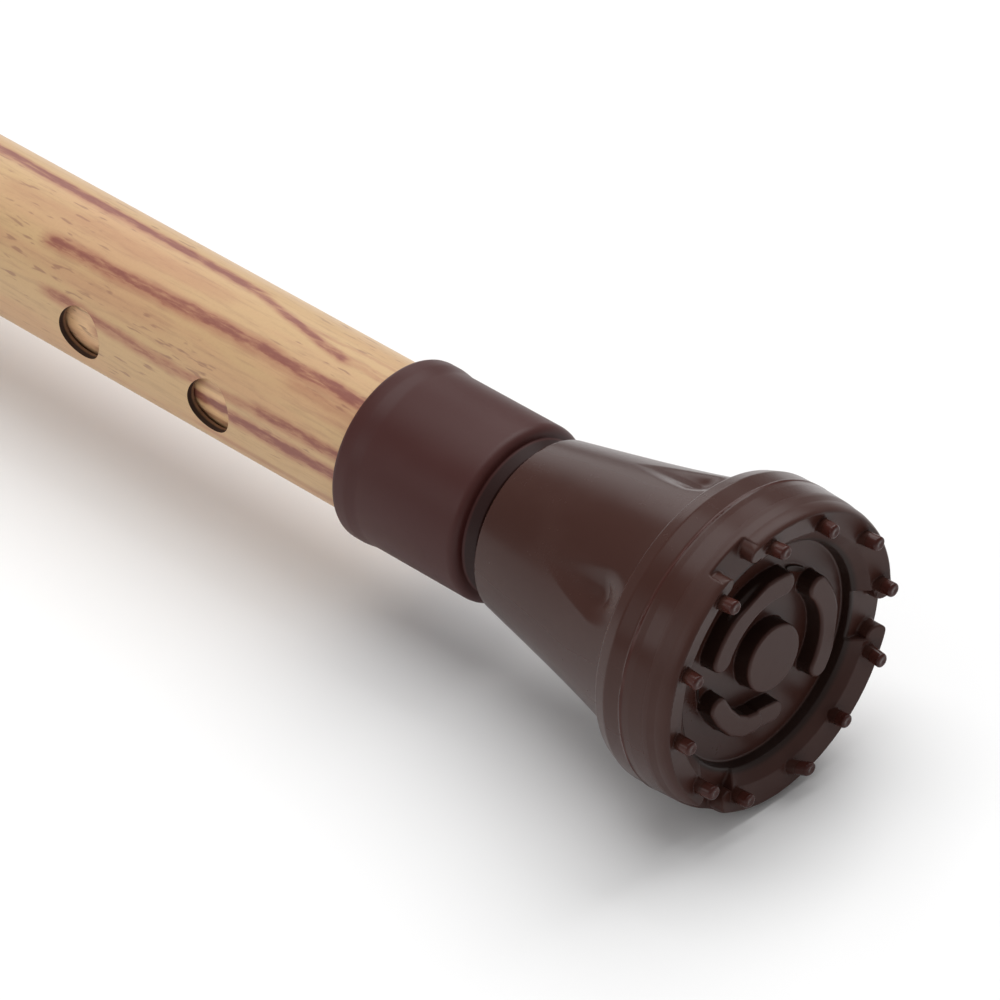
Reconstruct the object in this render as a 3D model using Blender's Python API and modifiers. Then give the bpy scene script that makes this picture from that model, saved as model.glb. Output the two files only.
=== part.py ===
# Height-adjustable walking cane, lying on its side at its lowest setting. All sizes are in metres.
# The shaft runs along X with the rubber tip at the +X end and the handle at the -X end.
# The origin is at the middle of the tread's centre disc, on the shaft's axis.
# The row of adjustment holes and the snap button face -Y, and the handle lies flat in the XY plane.
# Distances along the shaft are measured from the disc's face towards the handle.
# Angles round the shaft are measured from -Y towards +Z.
import math

import bmesh
import bpy
from mathutils import Euler, Matrix, Vector

# Gaps between pieces
SEAT_GAP = 0.0003
HOLE_CLEARANCE = 0.0002
RUNNING_CLEARANCE = 0.0001
TUBE_CLEARANCE = 0.000385

# Shaft tubes
CANE_LENGTH = 0.762
UPPER_TUBE_DIAMETER = 0.02222
UPPER_TUBE_WALL = 0.0012
LOWER_TUBE_WALL = 0.0012
LOWER_TUBE_TOP = 0.275
HOLE_DIAMETER = 0.008
HOLE_PITCH = 0.0254
HOLE_COUNT = 7
FIRST_HOLE = 0.0928

# Rubber tip: neck, cone and band
TIP_LENGTH = 0.0417
NECK_WALL = 0.002725
NECK_EDGE = 0.0005
BAND_LENGTH = 0.0116
BAND_DIAMETER = 0.0442
BAND_TAPER = 0.00035
SHOULDER_HEIGHT = 0.0016
SHOULDER_LENGTH = 0.0023
SHOULDER_ROUND = 0.0009
CONE_END_STEP = 0.0025
CONE_STRAIGHT_SHARE = 0.88
CONE_FLARE_POWER = 4
CONE_STEPS = 9
PARTING_DISTANCE = 0.00635
PARTING_HEIGHT = 0.00015
PARTING_HALF_WIDTH = 0.0003
SOCKET_FLOOR = 0.012

# Rubber tip: finger scoops at the foot of the cone, each with a twin on the opposite side.
# A scoop has a flat ramp for a floor, a half-round end at the band and sloping walls
SCOOP_ANGLES = (math.radians(31.7), math.radians(103.5))
SCOOP_DISTANCE = 0.0175
SCOOP_FLOOR_LENGTH = 0.012
SCOOP_FLOOR_WIDTH = 0.0036
SCOOP_DEPTH = 0.0010
SCOOP_RAMP_ANGLE = math.radians(8.5)
SCOOP_WALL_ANGLE = math.radians(61.0)
SCOOP_CUT_HEIGHT = 0.0022

# Rubber tip: tread. Heights and depths are measured from the centre disc's face, and the rings are
# given as widths, from the band inwards
LEDGE_HEIGHT = 0.00078
LEDGE_WIDTH = 0.0018
LIP_HEIGHT = 0.00143
LIP_SWELL = 0.00089
LIP_CREST_WIDTH = 0.00061
LIP_SIDE_LENGTH = 0.0022
BOWL_DEPTH = 0.0026
BOWL_SLOPE_DEPTH = 0.0013
BOWL_SLOPE_WIDTH = 0.00245
BOWL_WALL_WIDTH = 0.0004
DISC_DIAMETER = 0.0097
DISC_ROUND = 0.0003
RIDGE_INNER_DIAMETER = 0.0182
RIDGE_OUTER_DIAMETER = 0.0248
RIDGE_SPANS = ((16.7, 109.7), (132.7, 222.7), (259.7, 354.7))
RIDGE_ROOT = 0.001
PIN_COUNT = 12
PIN_DIAMETER = 0.002
PIN_HEIGHT = 0.0034
PIN_ROUND = 0.00055
PIN_INSET = 0.0011
PIN_ANGLE = math.radians(83.0)
PIN_ROOT = 0.001
NOTCH_COUNT = 3
NOTCH_ANGLE = math.radians(68.0)
NOTCH_WIDTH = 0.0043
NOTCH_DEPTH = 0.00125

# Washer under the lower tube
WASHER_THICKNESS = 0.0012
WASHER_HOLE_DIAMETER = 0.006

# Bush in the upper end of the lower tube
GUIDE_PLUG_LENGTH = 0.012
GUIDE_RIM_THICKNESS = 0.003
GUIDE_RIM_ROUND = 0.0006
GUIDE_HOLE_DIAMETER = 0.008

# Collar on the lower end of the upper tube
COLLAR_GAP = 0.0012
COLLAR_LENGTH = 0.0245
COLLAR_WALL = 0.00184
COLLAR_NOSE_WALL = 0.001575
COLLAR_NOSE_LENGTH = 0.0018
COLLAR_NOSE_FLARE = 0.00045
COLLAR_NOSE_ROUND = 0.0004
COLLAR_SHOULDER_ROUND = 0.0011
COLLAR_BEAD_HEIGHT = 0.00028
COLLAR_BEAD_LENGTH = 0.0044
COLLAR_BEAD_RAMP = 0.0018
COLLAR_BEAD_ROUND = 0.0016
COLLAR_LIP = 0.0038

# Snap button and its leaf spring
BUTTON_PROUD = 0.0024
BUTTON_ROUND = 0.0016
BUTTON_FLANGE_DIAMETER = 0.0092
BUTTON_FLANGE_THICKNESS = 0.0006
BUTTON_FLANGE_CLEARANCE = 0.0003
RIVET_DIAMETER = 0.0036
RIVET_HEAD_DIAMETER = 0.0056
RIVET_HEAD_THICKNESS = 0.0008
RIVET_HEAD_ROUND = 0.0003
SPRING_WIDTH = 0.008
SPRING_THICKNESS = 0.0006
SPRING_LENGTH = 0.042
SPRING_FLAT = 0.007
SPRING_BEND_RADIUS = 0.0038

# Derby handle. Each section is its place along the grip, its rise, half height and half width
GRIP_SECTIONS = (
    (0.0470, -0.0075, 0.0050, 0.0045),
    (0.0425, -0.0060, 0.0098, 0.0088),
    (0.0300, -0.0028, 0.0138, 0.0124),
    (0.0160, -0.0012, 0.0134, 0.0124),
    (0.0000, 0.0000, 0.0136, 0.0130),
    (-0.0160, 0.0010, 0.0142, 0.0138),
    (-0.0350, 0.0014, 0.0146, 0.0142),
    (-0.0550, 0.0004, 0.0136, 0.0138),
    (-0.0700, -0.0018, 0.0112, 0.0118),
    (-0.0765, -0.0036, 0.0062, 0.0066),
)
STEM_SECTION = 4
STEM_TOP_DEPTH = 0.020
STEM_TOP_DIAMETER = 0.0318
STEM_DEPTH = 0.046
STEM_DIAMETER = 0.0288
STEM_SOCKET_LENGTH = 0.022
RING_LENGTH = 0.010
RING_DIAMETER = 0.0296
RING_THICKNESS = 0.0009
RING_ROUND = 0.0003
HANDLE_PLUG_LENGTH = 0.030
HANDLE_PLUG_WALL = 0.0048
SCREW_DIAMETER = 0.003
SCREW_LENGTH = 0.008
SCREW_POINT_DIAMETER = 0.001
SCREW_HEAD_DIAMETER = 0.0062
SCREW_HEAD_HEIGHT = 0.0017
SCREW_HEAD_ROUND = 0.00085
SCREW_DISTANCE_FROM_RING = 0.0055
SCREW_SEAT_WALL = 0.0016

# Fineness of the meshes
TURN_STEPS = 48
SMALL_TURN_STEPS = 24
PIN_SIDES = 12
ROUND_STEPS = 3
ROUND_SHARE = 0.45
BEND_STEPS = 8
ARC_STEP = math.radians(10)
GRIP_SIDES = 8
GRIP_LEVELS = 2

# Places that follow from the sizes above
UPPER_RADIUS = UPPER_TUBE_DIAMETER / 2
UPPER_BORE = UPPER_RADIUS - UPPER_TUBE_WALL
LOWER_RADIUS = UPPER_BORE - TUBE_CLEARANCE
LOWER_BORE = LOWER_RADIUS - LOWER_TUBE_WALL
SOCKET_RADIUS = LOWER_RADIUS + SEAT_GAP
NECK_RADIUS = SOCKET_RADIUS + NECK_WALL
BAND_RADIUS = BAND_DIAMETER / 2
CONE_END_RADIUS = BAND_RADIUS - CONE_END_STEP
BAND_FRONT_RADIUS = BAND_RADIUS - BAND_TAPER
LIP_RADIUS = BAND_FRONT_RADIUS - LIP_SWELL
LEDGE_OUTER_RADIUS = LIP_RADIUS - LIP_CREST_WIDTH
LEDGE_INNER_RADIUS = LEDGE_OUTER_RADIUS - LEDGE_WIDTH
BOWL_SLOPE_RADIUS = LEDGE_INNER_RADIUS - BOWL_SLOPE_WIDTH
BOWL_FLOOR_RADIUS = BOWL_SLOPE_RADIUS - BOWL_WALL_WIDTH
PIN_CIRCLE_RADIUS = LEDGE_OUTER_RADIUS - PIN_INSET
LOWER_TUBE_START = SOCKET_FLOOR + WASHER_THICKNESS + 2 * SEAT_GAP
COLLAR_START = TIP_LENGTH + COLLAR_GAP
COLLAR_RADIUS = UPPER_RADIUS + COLLAR_WALL
COLLAR_BORE = LOWER_RADIUS + HOLE_CLEARANCE
COLLAR_NOSE_RADIUS = COLLAR_BORE + COLLAR_NOSE_WALL
UPPER_TUBE_START = COLLAR_START + COLLAR_LIP + SEAT_GAP
BUTTON_DISTANCE = FIRST_HOLE + (HOLE_COUNT - 1) * HOLE_PITCH
GRIP_TOP = max(rise + half_height for _, rise, half_height, _ in GRIP_SECTIONS)
GRIP_DISTANCE = CANE_LENGTH - GRIP_TOP
STEM_END = GRIP_DISTANCE - STEM_DEPTH
UPPER_TUBE_TOP = STEM_END + STEM_SOCKET_LENGTH - SEAT_GAP
SCREW_DISTANCE = STEM_END + RING_LENGTH + SCREW_DISTANCE_FROM_RING
REBATE_RADIUS = RING_DIAMETER / 2 - RING_THICKNESS - SEAT_GAP
ALONG_SHAFT = Euler((0, math.pi / 2, 0))
TOWARDS_HOLES = Euler((math.pi / 2, 0, 0))
AWAY_FROM_HOLES = Euler((-math.pi / 2, 0, 0))


def clear_scene():
    for thing in list(bpy.data.objects):
        bpy.data.objects.remove(thing)


def new_collection(name):
    collection = bpy.data.collections.new(name)
    bpy.context.scene.collection.children.link(collection)
    return collection


def new_finish(name, color, roughness, metallic=0.0):
    finish = bpy.data.materials.new(name)
    finish.use_nodes = True
    shader = finish.node_tree.nodes["Principled BSDF"]
    shader.inputs["Base Color"].default_value = (*color, 1.0)
    shader.inputs["Roughness"].default_value = roughness
    shader.inputs["Metallic"].default_value = metallic
    finish.diffuse_color = (*color, 1.0)
    return finish


clear_scene()
cane = new_collection("walking_cane")
helpers = new_collection("cutters")
wood_print = new_finish("wood_print", (0.56, 0.37, 0.19), 0.42)
brown_rubber = new_finish("brown_rubber", (0.070, 0.026, 0.022), 0.38)
brown_vinyl = new_finish("brown_vinyl", (0.075, 0.030, 0.026), 0.48)
brown_plastic = new_finish("brown_plastic", (0.080, 0.030, 0.024), 0.35)
plated_steel = new_finish("plated_steel", (0.62, 0.61, 0.59), 0.28, 1.0)
spring_steel = new_finish("spring_steel", (0.33, 0.34, 0.37), 0.35, 1.0)
natural_nylon = new_finish("natural_nylon", (0.62, 0.60, 0.55), 0.50)
brass_band = new_finish("brass_band", (0.72, 0.53, 0.25), 0.30, 1.0)


def section(name):
    # An empty on the shaft's axis that carries the pieces that slide together
    empty = bpy.data.objects.new(name, None)
    cane.objects.link(empty)
    return empty


lower_section = section("lower_section")
upper_section = section("upper_section")


def add_piece(name, mesh, finish, parent, location=(0, 0, 0), rotation=None):
    piece = bpy.data.objects.new(name, mesh)
    piece.location = location
    if rotation:
        piece.rotation_euler = rotation
    mesh.materials.append(finish)
    piece.parent = parent
    cane.objects.link(piece)
    return piece


def add_helper(name, mesh, location=(0, 0, 0), rotation=None):
    helper = bpy.data.objects.new(name, mesh)
    helper.location = location
    if rotation:
        helper.rotation_euler = rotation
    helper.hide_render = True
    helper.display_type = "WIRE"
    helpers.objects.link(helper)
    return helper


def finished_mesh(name, shape):
    # The bmesh as a mesh, closed, with its faces turned outwards
    bmesh.ops.recalc_face_normals(shape, faces=shape.faces)
    mesh = bpy.data.meshes.new(name)
    shape.to_mesh(mesh)
    shape.free()
    mesh.shade_smooth()
    mesh.set_sharp_from_angle(angle=math.radians(35))
    return mesh


def rounded(outline):
    # Corners given with a third value become arcs of that radius, or less where an edge is too short:
    # an arc takes at most ROUND_SHARE of each edge
    points = []
    for index, corner in enumerate(outline):
        here = Vector(corner[:2])
        if len(corner) < 3:
            points.append(here)
            continue
        back = Vector(outline[index - 1][:2]) - here
        ahead = Vector(outline[(index + 1) % len(outline)][:2]) - here
        half = back.angle(ahead) / 2
        reach = min(corner[2] / math.tan(half), ROUND_SHARE * back.length, ROUND_SHARE * ahead.length)
        centre = here + (back.normalized() + ahead.normalized()).normalized() * reach / math.cos(half)
        start = here + back.normalized() * reach - centre
        end = here + ahead.normalized() * reach - centre
        first = math.atan2(start.y, start.x)
        turn = math.remainder(math.atan2(end.y, end.x) - first, math.tau)
        for step in range(ROUND_STEPS + 1):
            angle = first + turn * step / ROUND_STEPS
            points.append(centre + start.length * Vector((math.cos(angle), math.sin(angle))))
    return points


def profile_mesh(name, outline):
    # Points are (distance, radius) in order down the outer side. A profile that starts on the axis
    # stays open there, and any other is a closed loop
    points = rounded(outline)
    mesh = bpy.data.meshes.new(name)
    edges = [(index, index + 1) for index in range(len(points) - 1)]
    if points[0].y > 0:
        edges.append((len(points) - 1, 0))
    mesh.from_pydata([(radius, 0, -distance) for distance, radius in points], edges, [])
    return mesh


def turn_round(piece, steps):
    screw = piece.modifiers.new("turn", "SCREW")
    screw.axis = "Z"
    screw.angle = math.tau
    screw.steps = steps
    screw.render_steps = steps
    screw.use_merge_vertices = True
    screw.merge_threshold = 0.00001


def turned(name, outline, finish, parent, steps=TURN_STEPS, location=(0, 0, 0), rotation=ALONG_SHAFT):
    piece = add_piece(name, profile_mesh(name, outline), finish, parent, location, rotation)
    turn_round(piece, steps)
    return piece


def turned_helper(name, outline, steps=TURN_STEPS, location=(0, 0, 0), rotation=ALONG_SHAFT):
    helper = add_helper(name, profile_mesh(name, outline), location, rotation)
    turn_round(helper, steps)
    return helper


def combine(piece, helper, operation):
    boolean = piece.modifiers.new(helper.name, "BOOLEAN")
    boolean.operation = operation
    boolean.object = helper


def tube_outline(start, end, outer, inner):
    return ((start, outer), (end, outer), (end, inner), (start, inner))


def spoke(radius, angle):
    # A point of the tread, in the local plane that ALONG_SHAFT turns square to the shaft
    return Vector((-radius * math.sin(angle), -radius * math.cos(angle), 0))


def half_round(centre, first, bulge):
    # The inner points of a half circle from centre + first to centre - first, swelling towards bulge
    swings = [math.pi * step / BEND_STEPS for step in range(1, BEND_STEPS)]
    return [centre + first * math.cos(swing) + bulge * math.sin(swing) for swing in swings]


def cylinder(shape, radius, start, end, matrix, steps=SMALL_TURN_STEPS):
    bmesh.ops.create_cone(
        shape,
        cap_ends=True,
        segments=steps,
        radius1=radius,
        radius2=radius,
        depth=end - start,
        matrix=matrix @ Matrix.Translation((0, 0, (start + end) / 2)),
    )


def plate(shape, points, low, high):
    # A flat outline at height low, thickened up to height high. Returns its lower and upper corners
    lower = [shape.verts.new((point.x, point.y, low)) for point in points]
    raised = bmesh.ops.extrude_face_region(shape, geom=[shape.faces.new(lower)])["geom"]
    upper = [item for item in raised if isinstance(item, bmesh.types.BMVert)]
    bmesh.ops.translate(shape, verts=upper, vec=(0, 0, high - low))
    return lower, upper


def arc_bar_outline(inner, outer, start, end):
    # A bar bent round the axis, with half-round ends
    middle = (inner + outer) / 2
    half_width = (outer - inner) / 2
    first = start + half_width / middle
    last = end - half_width / middle
    steps = math.ceil((last - first) / ARC_STEP)
    angles = [first + (last - first) * step / steps for step in range(steps + 1)]
    points = [spoke(outer, angle) for angle in angles]
    onward = spoke(half_width, last + math.pi / 2)
    points += half_round(spoke(middle, last), spoke(half_width, last), onward)
    points += [spoke(inner, angle) for angle in reversed(angles)]
    backward = spoke(half_width, first - math.pi / 2)
    points += half_round(spoke(middle, first), -spoke(half_width, first), backward)
    return points


def cone_radius(distance):
    # The tip's flank: nearly straight from the neck, flaring more just before the band
    share = (TIP_LENGTH - distance) / (TIP_LENGTH - BAND_LENGTH)
    rise = CONE_STRAIGHT_SHARE * share + (1 - CONE_STRAIGHT_SHARE) * share**CONE_FLARE_POWER
    return NECK_RADIUS + (CONE_END_RADIUS - NECK_RADIUS) * rise


def tip_outline():
    outline = [
        (0, 0),
        (0, DISC_DIAMETER / 2, DISC_ROUND),
        (BOWL_DEPTH, DISC_DIAMETER / 2),
        (BOWL_DEPTH, BOWL_FLOOR_RADIUS),
        (BOWL_SLOPE_DEPTH, BOWL_SLOPE_RADIUS),
        (-LEDGE_HEIGHT, LEDGE_INNER_RADIUS),
        (-LEDGE_HEIGHT, LEDGE_OUTER_RADIUS),
    ]
    # The lip's outer side is a quarter of an ellipse, from its crest back to the band
    for step in range(ROUND_STEPS + 2):
        swing = math.pi / 2 * step / (ROUND_STEPS + 1)
        distance = LIP_SIDE_LENGTH * (1 - math.cos(swing)) - LIP_HEIGHT
        outline.append((distance, LIP_RADIUS + LIP_SWELL * math.sin(swing)))
    outline += [
        (PARTING_DISTANCE - PARTING_HALF_WIDTH, BAND_RADIUS),
        (PARTING_DISTANCE, BAND_RADIUS + PARTING_HEIGHT),
        (PARTING_DISTANCE + PARTING_HALF_WIDTH, BAND_RADIUS),
        (BAND_LENGTH - SHOULDER_LENGTH, BAND_RADIUS),
        (BAND_LENGTH, BAND_RADIUS - SHOULDER_HEIGHT / 2, SHOULDER_ROUND),
    ]
    for step in range(CONE_STEPS):
        distance = BAND_LENGTH + (TIP_LENGTH - NECK_EDGE - BAND_LENGTH) * step / CONE_STEPS
        outline.append((distance, cone_radius(distance)))
    outline.append((TIP_LENGTH - NECK_EDGE, cone_radius(TIP_LENGTH - NECK_EDGE)))
    outline.append((TIP_LENGTH, NECK_RADIUS - NECK_EDGE))
    outline.append((TIP_LENGTH, SOCKET_RADIUS))
    outline.append((SOCKET_FLOOR, SOCKET_RADIUS))
    outline.append((SOCKET_FLOOR, 0))
    return outline


def add_scoop(shape, angle):
    # Drawn with X running up the cone from the middle of the scoop's round end and Z pointing out of
    # the cone, then tilted to the ramp and set into the cone's flank
    half_width = SCOOP_FLOOR_WIDTH / 2
    side = Vector((0, half_width))
    length = Vector((SCOOP_FLOOR_LENGTH, 0))
    outline = [length - side, length + side, side]
    outline += half_round(Vector((0, 0)), side, Vector((-half_width, 0)))
    outline.append(-side)
    lower, upper = plate(shape, outline, 0, SCOOP_CUT_HEIGHT)
    spread = 1 + SCOOP_CUT_HEIGHT * math.tan(SCOOP_WALL_ANGLE) / half_width
    bmesh.ops.scale(shape, verts=upper, vec=(spread, spread, 1))
    out = spoke(1, angle)
    up_cone = Vector((0, 0, -1))
    axes = Matrix((up_cone, out.cross(up_cone), out)).transposed().to_4x4()
    floor = out * (cone_radius(SCOOP_DISTANCE) - SCOOP_DEPTH) + up_cone * SCOOP_DISTANCE
    place = Matrix.Translation(floor) @ axes @ Matrix.Rotation(SCOOP_RAMP_ANGLE, 4, "Y")
    bmesh.ops.transform(shape, matrix=place, verts=lower + upper)


def add_notch(shape, angle):
    # A straight gap in the rim, which leaves the rim's bars with half-round ends
    half_width = (BAND_FRONT_RADIUS - LEDGE_INNER_RADIUS) / 2
    middle = spoke(LEDGE_INNER_RADIUS + half_width, angle)
    reach = (middle.length - BOWL_FLOOR_RADIUS) / half_width
    outline = []
    for out in (spoke(half_width, angle), -spoke(half_width, angle)):
        across = Vector((-out.y, out.x, 0))
        bar_end = middle - across * (1 + NOTCH_WIDTH / 2 / half_width)
        outline += [bar_end + reach * out, bar_end + out]
        outline += half_round(bar_end, out, across)
        outline += [bar_end - out, bar_end - reach * out]
    plate(shape, outline, -NOTCH_DEPTH, PIN_HEIGHT)


def make_tip():
    tip = turned("rubber_tip", tip_outline(), brown_rubber, lower_section)

    scoops = bmesh.new()
    for angle in SCOOP_ANGLES:
        add_scoop(scoops, angle)
        add_scoop(scoops, angle + math.pi)
    scoop_cut = add_helper("tip_scoops", finished_mesh("tip_scoops", scoops), rotation=ALONG_SHAFT)
    combine(tip, scoop_cut, "DIFFERENCE")

    notches = bmesh.new()
    for index in range(NOTCH_COUNT):
        add_notch(notches, NOTCH_ANGLE + math.tau * index / NOTCH_COUNT)
    notch_cut = add_helper("tread_notches", finished_mesh("tread_notches", notches), rotation=ALONG_SHAFT)
    combine(tip, notch_cut, "DIFFERENCE")

    ridges = bmesh.new()
    for start, end in RIDGE_SPANS:
        bar = arc_bar_outline(
            RIDGE_INNER_DIAMETER / 2, RIDGE_OUTER_DIAMETER / 2, math.radians(start), math.radians(end)
        )
        plate(ridges, bar, -BOWL_DEPTH - RIDGE_ROOT, 0)
    ridge_bars = add_helper("tread_ridges", finished_mesh("tread_ridges", ridges), rotation=ALONG_SHAFT)
    combine(tip, ridge_bars, "UNION")

    pins = bmesh.new()
    for index in range(PIN_COUNT):
        place = Matrix.Translation(spoke(PIN_CIRCLE_RADIUS, PIN_ANGLE + math.tau * index / PIN_COUNT))
        cylinder(pins, PIN_DIAMETER / 2, LEDGE_HEIGHT - PIN_ROOT, PIN_HEIGHT, place, PIN_SIDES)
    rims = [edge for edge in pins.edges if all(corner.co.z > PIN_HEIGHT / 2 for corner in edge.verts)]
    bmesh.ops.bevel(pins, geom=rims, offset=PIN_ROUND, segments=ROUND_STEPS - 1, profile=0.5, affect="EDGES")
    pin_set = add_helper("tread_pins", finished_mesh("tread_pins", pins), rotation=ALONG_SHAFT)
    combine(tip, pin_set, "UNION")


def make_lower_section():
    washer_start = SOCKET_FLOOR + SEAT_GAP
    turned(
        "tip_washer",
        tube_outline(washer_start, washer_start + WASHER_THICKNESS, LOWER_RADIUS, WASHER_HOLE_DIAMETER / 2),
        plated_steel,
        lower_section,
    )
    tube = turned(
        "lower_tube",
        tube_outline(LOWER_TUBE_START, LOWER_TUBE_TOP, LOWER_RADIUS, LOWER_BORE),
        wood_print,
        lower_section,
    )
    drill = bmesh.new()
    cylinder(drill, HOLE_DIAMETER / 2, LOWER_BORE / 2, 2 * LOWER_RADIUS, Matrix())
    button_hole = add_helper(
        "lower_tube_hole", finished_mesh("lower_tube_hole", drill), (-BUTTON_DISTANCE, 0, 0), TOWARDS_HOLES
    )
    combine(tube, button_hole, "DIFFERENCE")
    rim_start = LOWER_TUBE_TOP + SEAT_GAP
    turned(
        "top_guide",
        (
            (LOWER_TUBE_TOP - GUIDE_PLUG_LENGTH, LOWER_BORE - SEAT_GAP),
            (rim_start, LOWER_BORE - SEAT_GAP),
            (rim_start, UPPER_BORE - RUNNING_CLEARANCE, GUIDE_RIM_ROUND),
            (rim_start + GUIDE_RIM_THICKNESS, UPPER_BORE - RUNNING_CLEARANCE, GUIDE_RIM_ROUND),
            (rim_start + GUIDE_RIM_THICKNESS, GUIDE_HOLE_DIAMETER / 2),
            (LOWER_TUBE_TOP - GUIDE_PLUG_LENGTH, GUIDE_HOLE_DIAMETER / 2),
        ),
        natural_nylon,
        lower_section,
    )


def flange_top():
    # The flange stops against the curved inside of the lower tube
    clear_bore = LOWER_BORE - BUTTON_FLANGE_CLEARANCE
    return math.sqrt(clear_bore**2 - (BUTTON_FLANGE_DIAMETER / 2) ** 2)


def spring_height():
    # The middle of the strip where the button is riveted to it
    return flange_top() - BUTTON_FLANGE_THICKNESS - SEAT_GAP - SPRING_THICKNESS / 2


def make_button():
    top = flange_top()
    under = top - BUTTON_FLANGE_THICKNESS
    head_top = spring_height() - SPRING_THICKNESS / 2 - SEAT_GAP
    shank = HOLE_DIAMETER / 2 - HOLE_CLEARANCE
    heights = (
        (UPPER_RADIUS + BUTTON_PROUD, 0),
        (UPPER_RADIUS + BUTTON_PROUD, shank, BUTTON_ROUND),
        (top, shank),
        (top, BUTTON_FLANGE_DIAMETER / 2),
        (under, BUTTON_FLANGE_DIAMETER / 2),
        (under, RIVET_DIAMETER / 2),
        (head_top, RIVET_DIAMETER / 2),
        (head_top, RIVET_HEAD_DIAMETER / 2),
        (head_top - RIVET_HEAD_THICKNESS, RIVET_HEAD_DIAMETER / 2, RIVET_HEAD_ROUND),
        (head_top - RIVET_HEAD_THICKNESS, 0),
    )
    outline = [(-corner[0], *corner[1:]) for corner in heights]
    turned(
        "button_head",
        outline,
        plated_steel,
        lower_section,
        SMALL_TURN_STEPS,
        (-BUTTON_DISTANCE, 0, 0),
        TOWARDS_HOLES,
    )


def make_spring():
    # A strip bent into a V: one leg carries the button, and the other rests on the far wall
    half_width = SPRING_WIDTH / 2
    rest = math.sqrt(LOWER_BORE**2 - half_width**2) - SEAT_GAP - SPRING_THICKNESS / 2
    bend = Vector((SPRING_LENGTH - SPRING_FLAT - SPRING_BEND_RADIUS, 0))
    lowest = Vector((0, -SPRING_BEND_RADIUS))
    path = [Vector((-SPRING_FLAT, -spring_height())), Vector((SPRING_FLAT, -spring_height())), bend + lowest]
    path += half_round(bend, lowest, Vector((SPRING_BEND_RADIUS, 0)))
    path += [bend - lowest, Vector((-SPRING_FLAT, rest))]
    strip = bmesh.new()
    ends = [strip.verts.new((*point, -half_width)) for point in path]
    edges = [strip.edges.new(pair) for pair in zip(ends, ends[1:])]
    raised = bmesh.ops.extrude_edge_only(strip, edges=edges)["geom"]
    corners = [item for item in raised if isinstance(item, bmesh.types.BMVert)]
    bmesh.ops.translate(strip, verts=corners, vec=(0, 0, SPRING_WIDTH))
    mesh = finished_mesh("button_spring", strip)
    spring = add_piece("button_spring", mesh, spring_steel, lower_section, (-BUTTON_DISTANCE, 0, 0))
    thicken = spring.modifiers.new("thickness", "SOLIDIFY")
    thicken.thickness = SPRING_THICKNESS
    thicken.offset = 0
    drill = bmesh.new()
    cylinder(drill, RIVET_DIAMETER / 2 + SEAT_GAP, spring_height() / 2, LOWER_BORE, Matrix(), steps=16)
    hole = add_helper(
        "spring_hole", finished_mesh("spring_hole", drill), (-BUTTON_DISTANCE, 0, 0), TOWARDS_HOLES
    )
    combine(spring, hole, "DIFFERENCE")


def make_upper_tube(screw_hole):
    tube = turned(
        "upper_tube",
        tube_outline(UPPER_TUBE_START, UPPER_TUBE_TOP, UPPER_RADIUS, UPPER_BORE),
        wood_print,
        upper_section,
    )
    drill = bmesh.new()
    for index in range(HOLE_COUNT):
        place = Matrix.Translation((-FIRST_HOLE - index * HOLE_PITCH, 0, 0))
        cylinder(drill, HOLE_DIAMETER / 2, UPPER_BORE / 2, 2 * UPPER_RADIUS, place)
    holes = add_helper("height_holes", finished_mesh("height_holes", drill), rotation=TOWARDS_HOLES)
    combine(tube, holes, "DIFFERENCE")
    combine(tube, screw_hole, "DIFFERENCE")


def make_collar():
    bead = COLLAR_RADIUS + COLLAR_BEAD_HEIGHT
    end = COLLAR_START + COLLAR_LENGTH
    shoulder = COLLAR_START + COLLAR_NOSE_LENGTH
    turned(
        "collar",
        (
            (COLLAR_START, COLLAR_NOSE_RADIUS, COLLAR_NOSE_ROUND),
            (shoulder, COLLAR_NOSE_RADIUS + COLLAR_NOSE_FLARE),
            (shoulder, COLLAR_RADIUS, COLLAR_SHOULDER_ROUND),
            (end - COLLAR_BEAD_LENGTH, COLLAR_RADIUS),
            (end - COLLAR_BEAD_LENGTH + COLLAR_BEAD_RAMP, bead),
            (end, bead, COLLAR_BEAD_ROUND),
            (end, UPPER_RADIUS + SEAT_GAP),
            (COLLAR_START + COLLAR_LIP, UPPER_RADIUS + SEAT_GAP),
            (COLLAR_START + COLLAR_LIP, COLLAR_BORE),
            (COLLAR_START, COLLAR_BORE),
        ),
        brown_vinyl,
        upper_section,
    )


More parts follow.
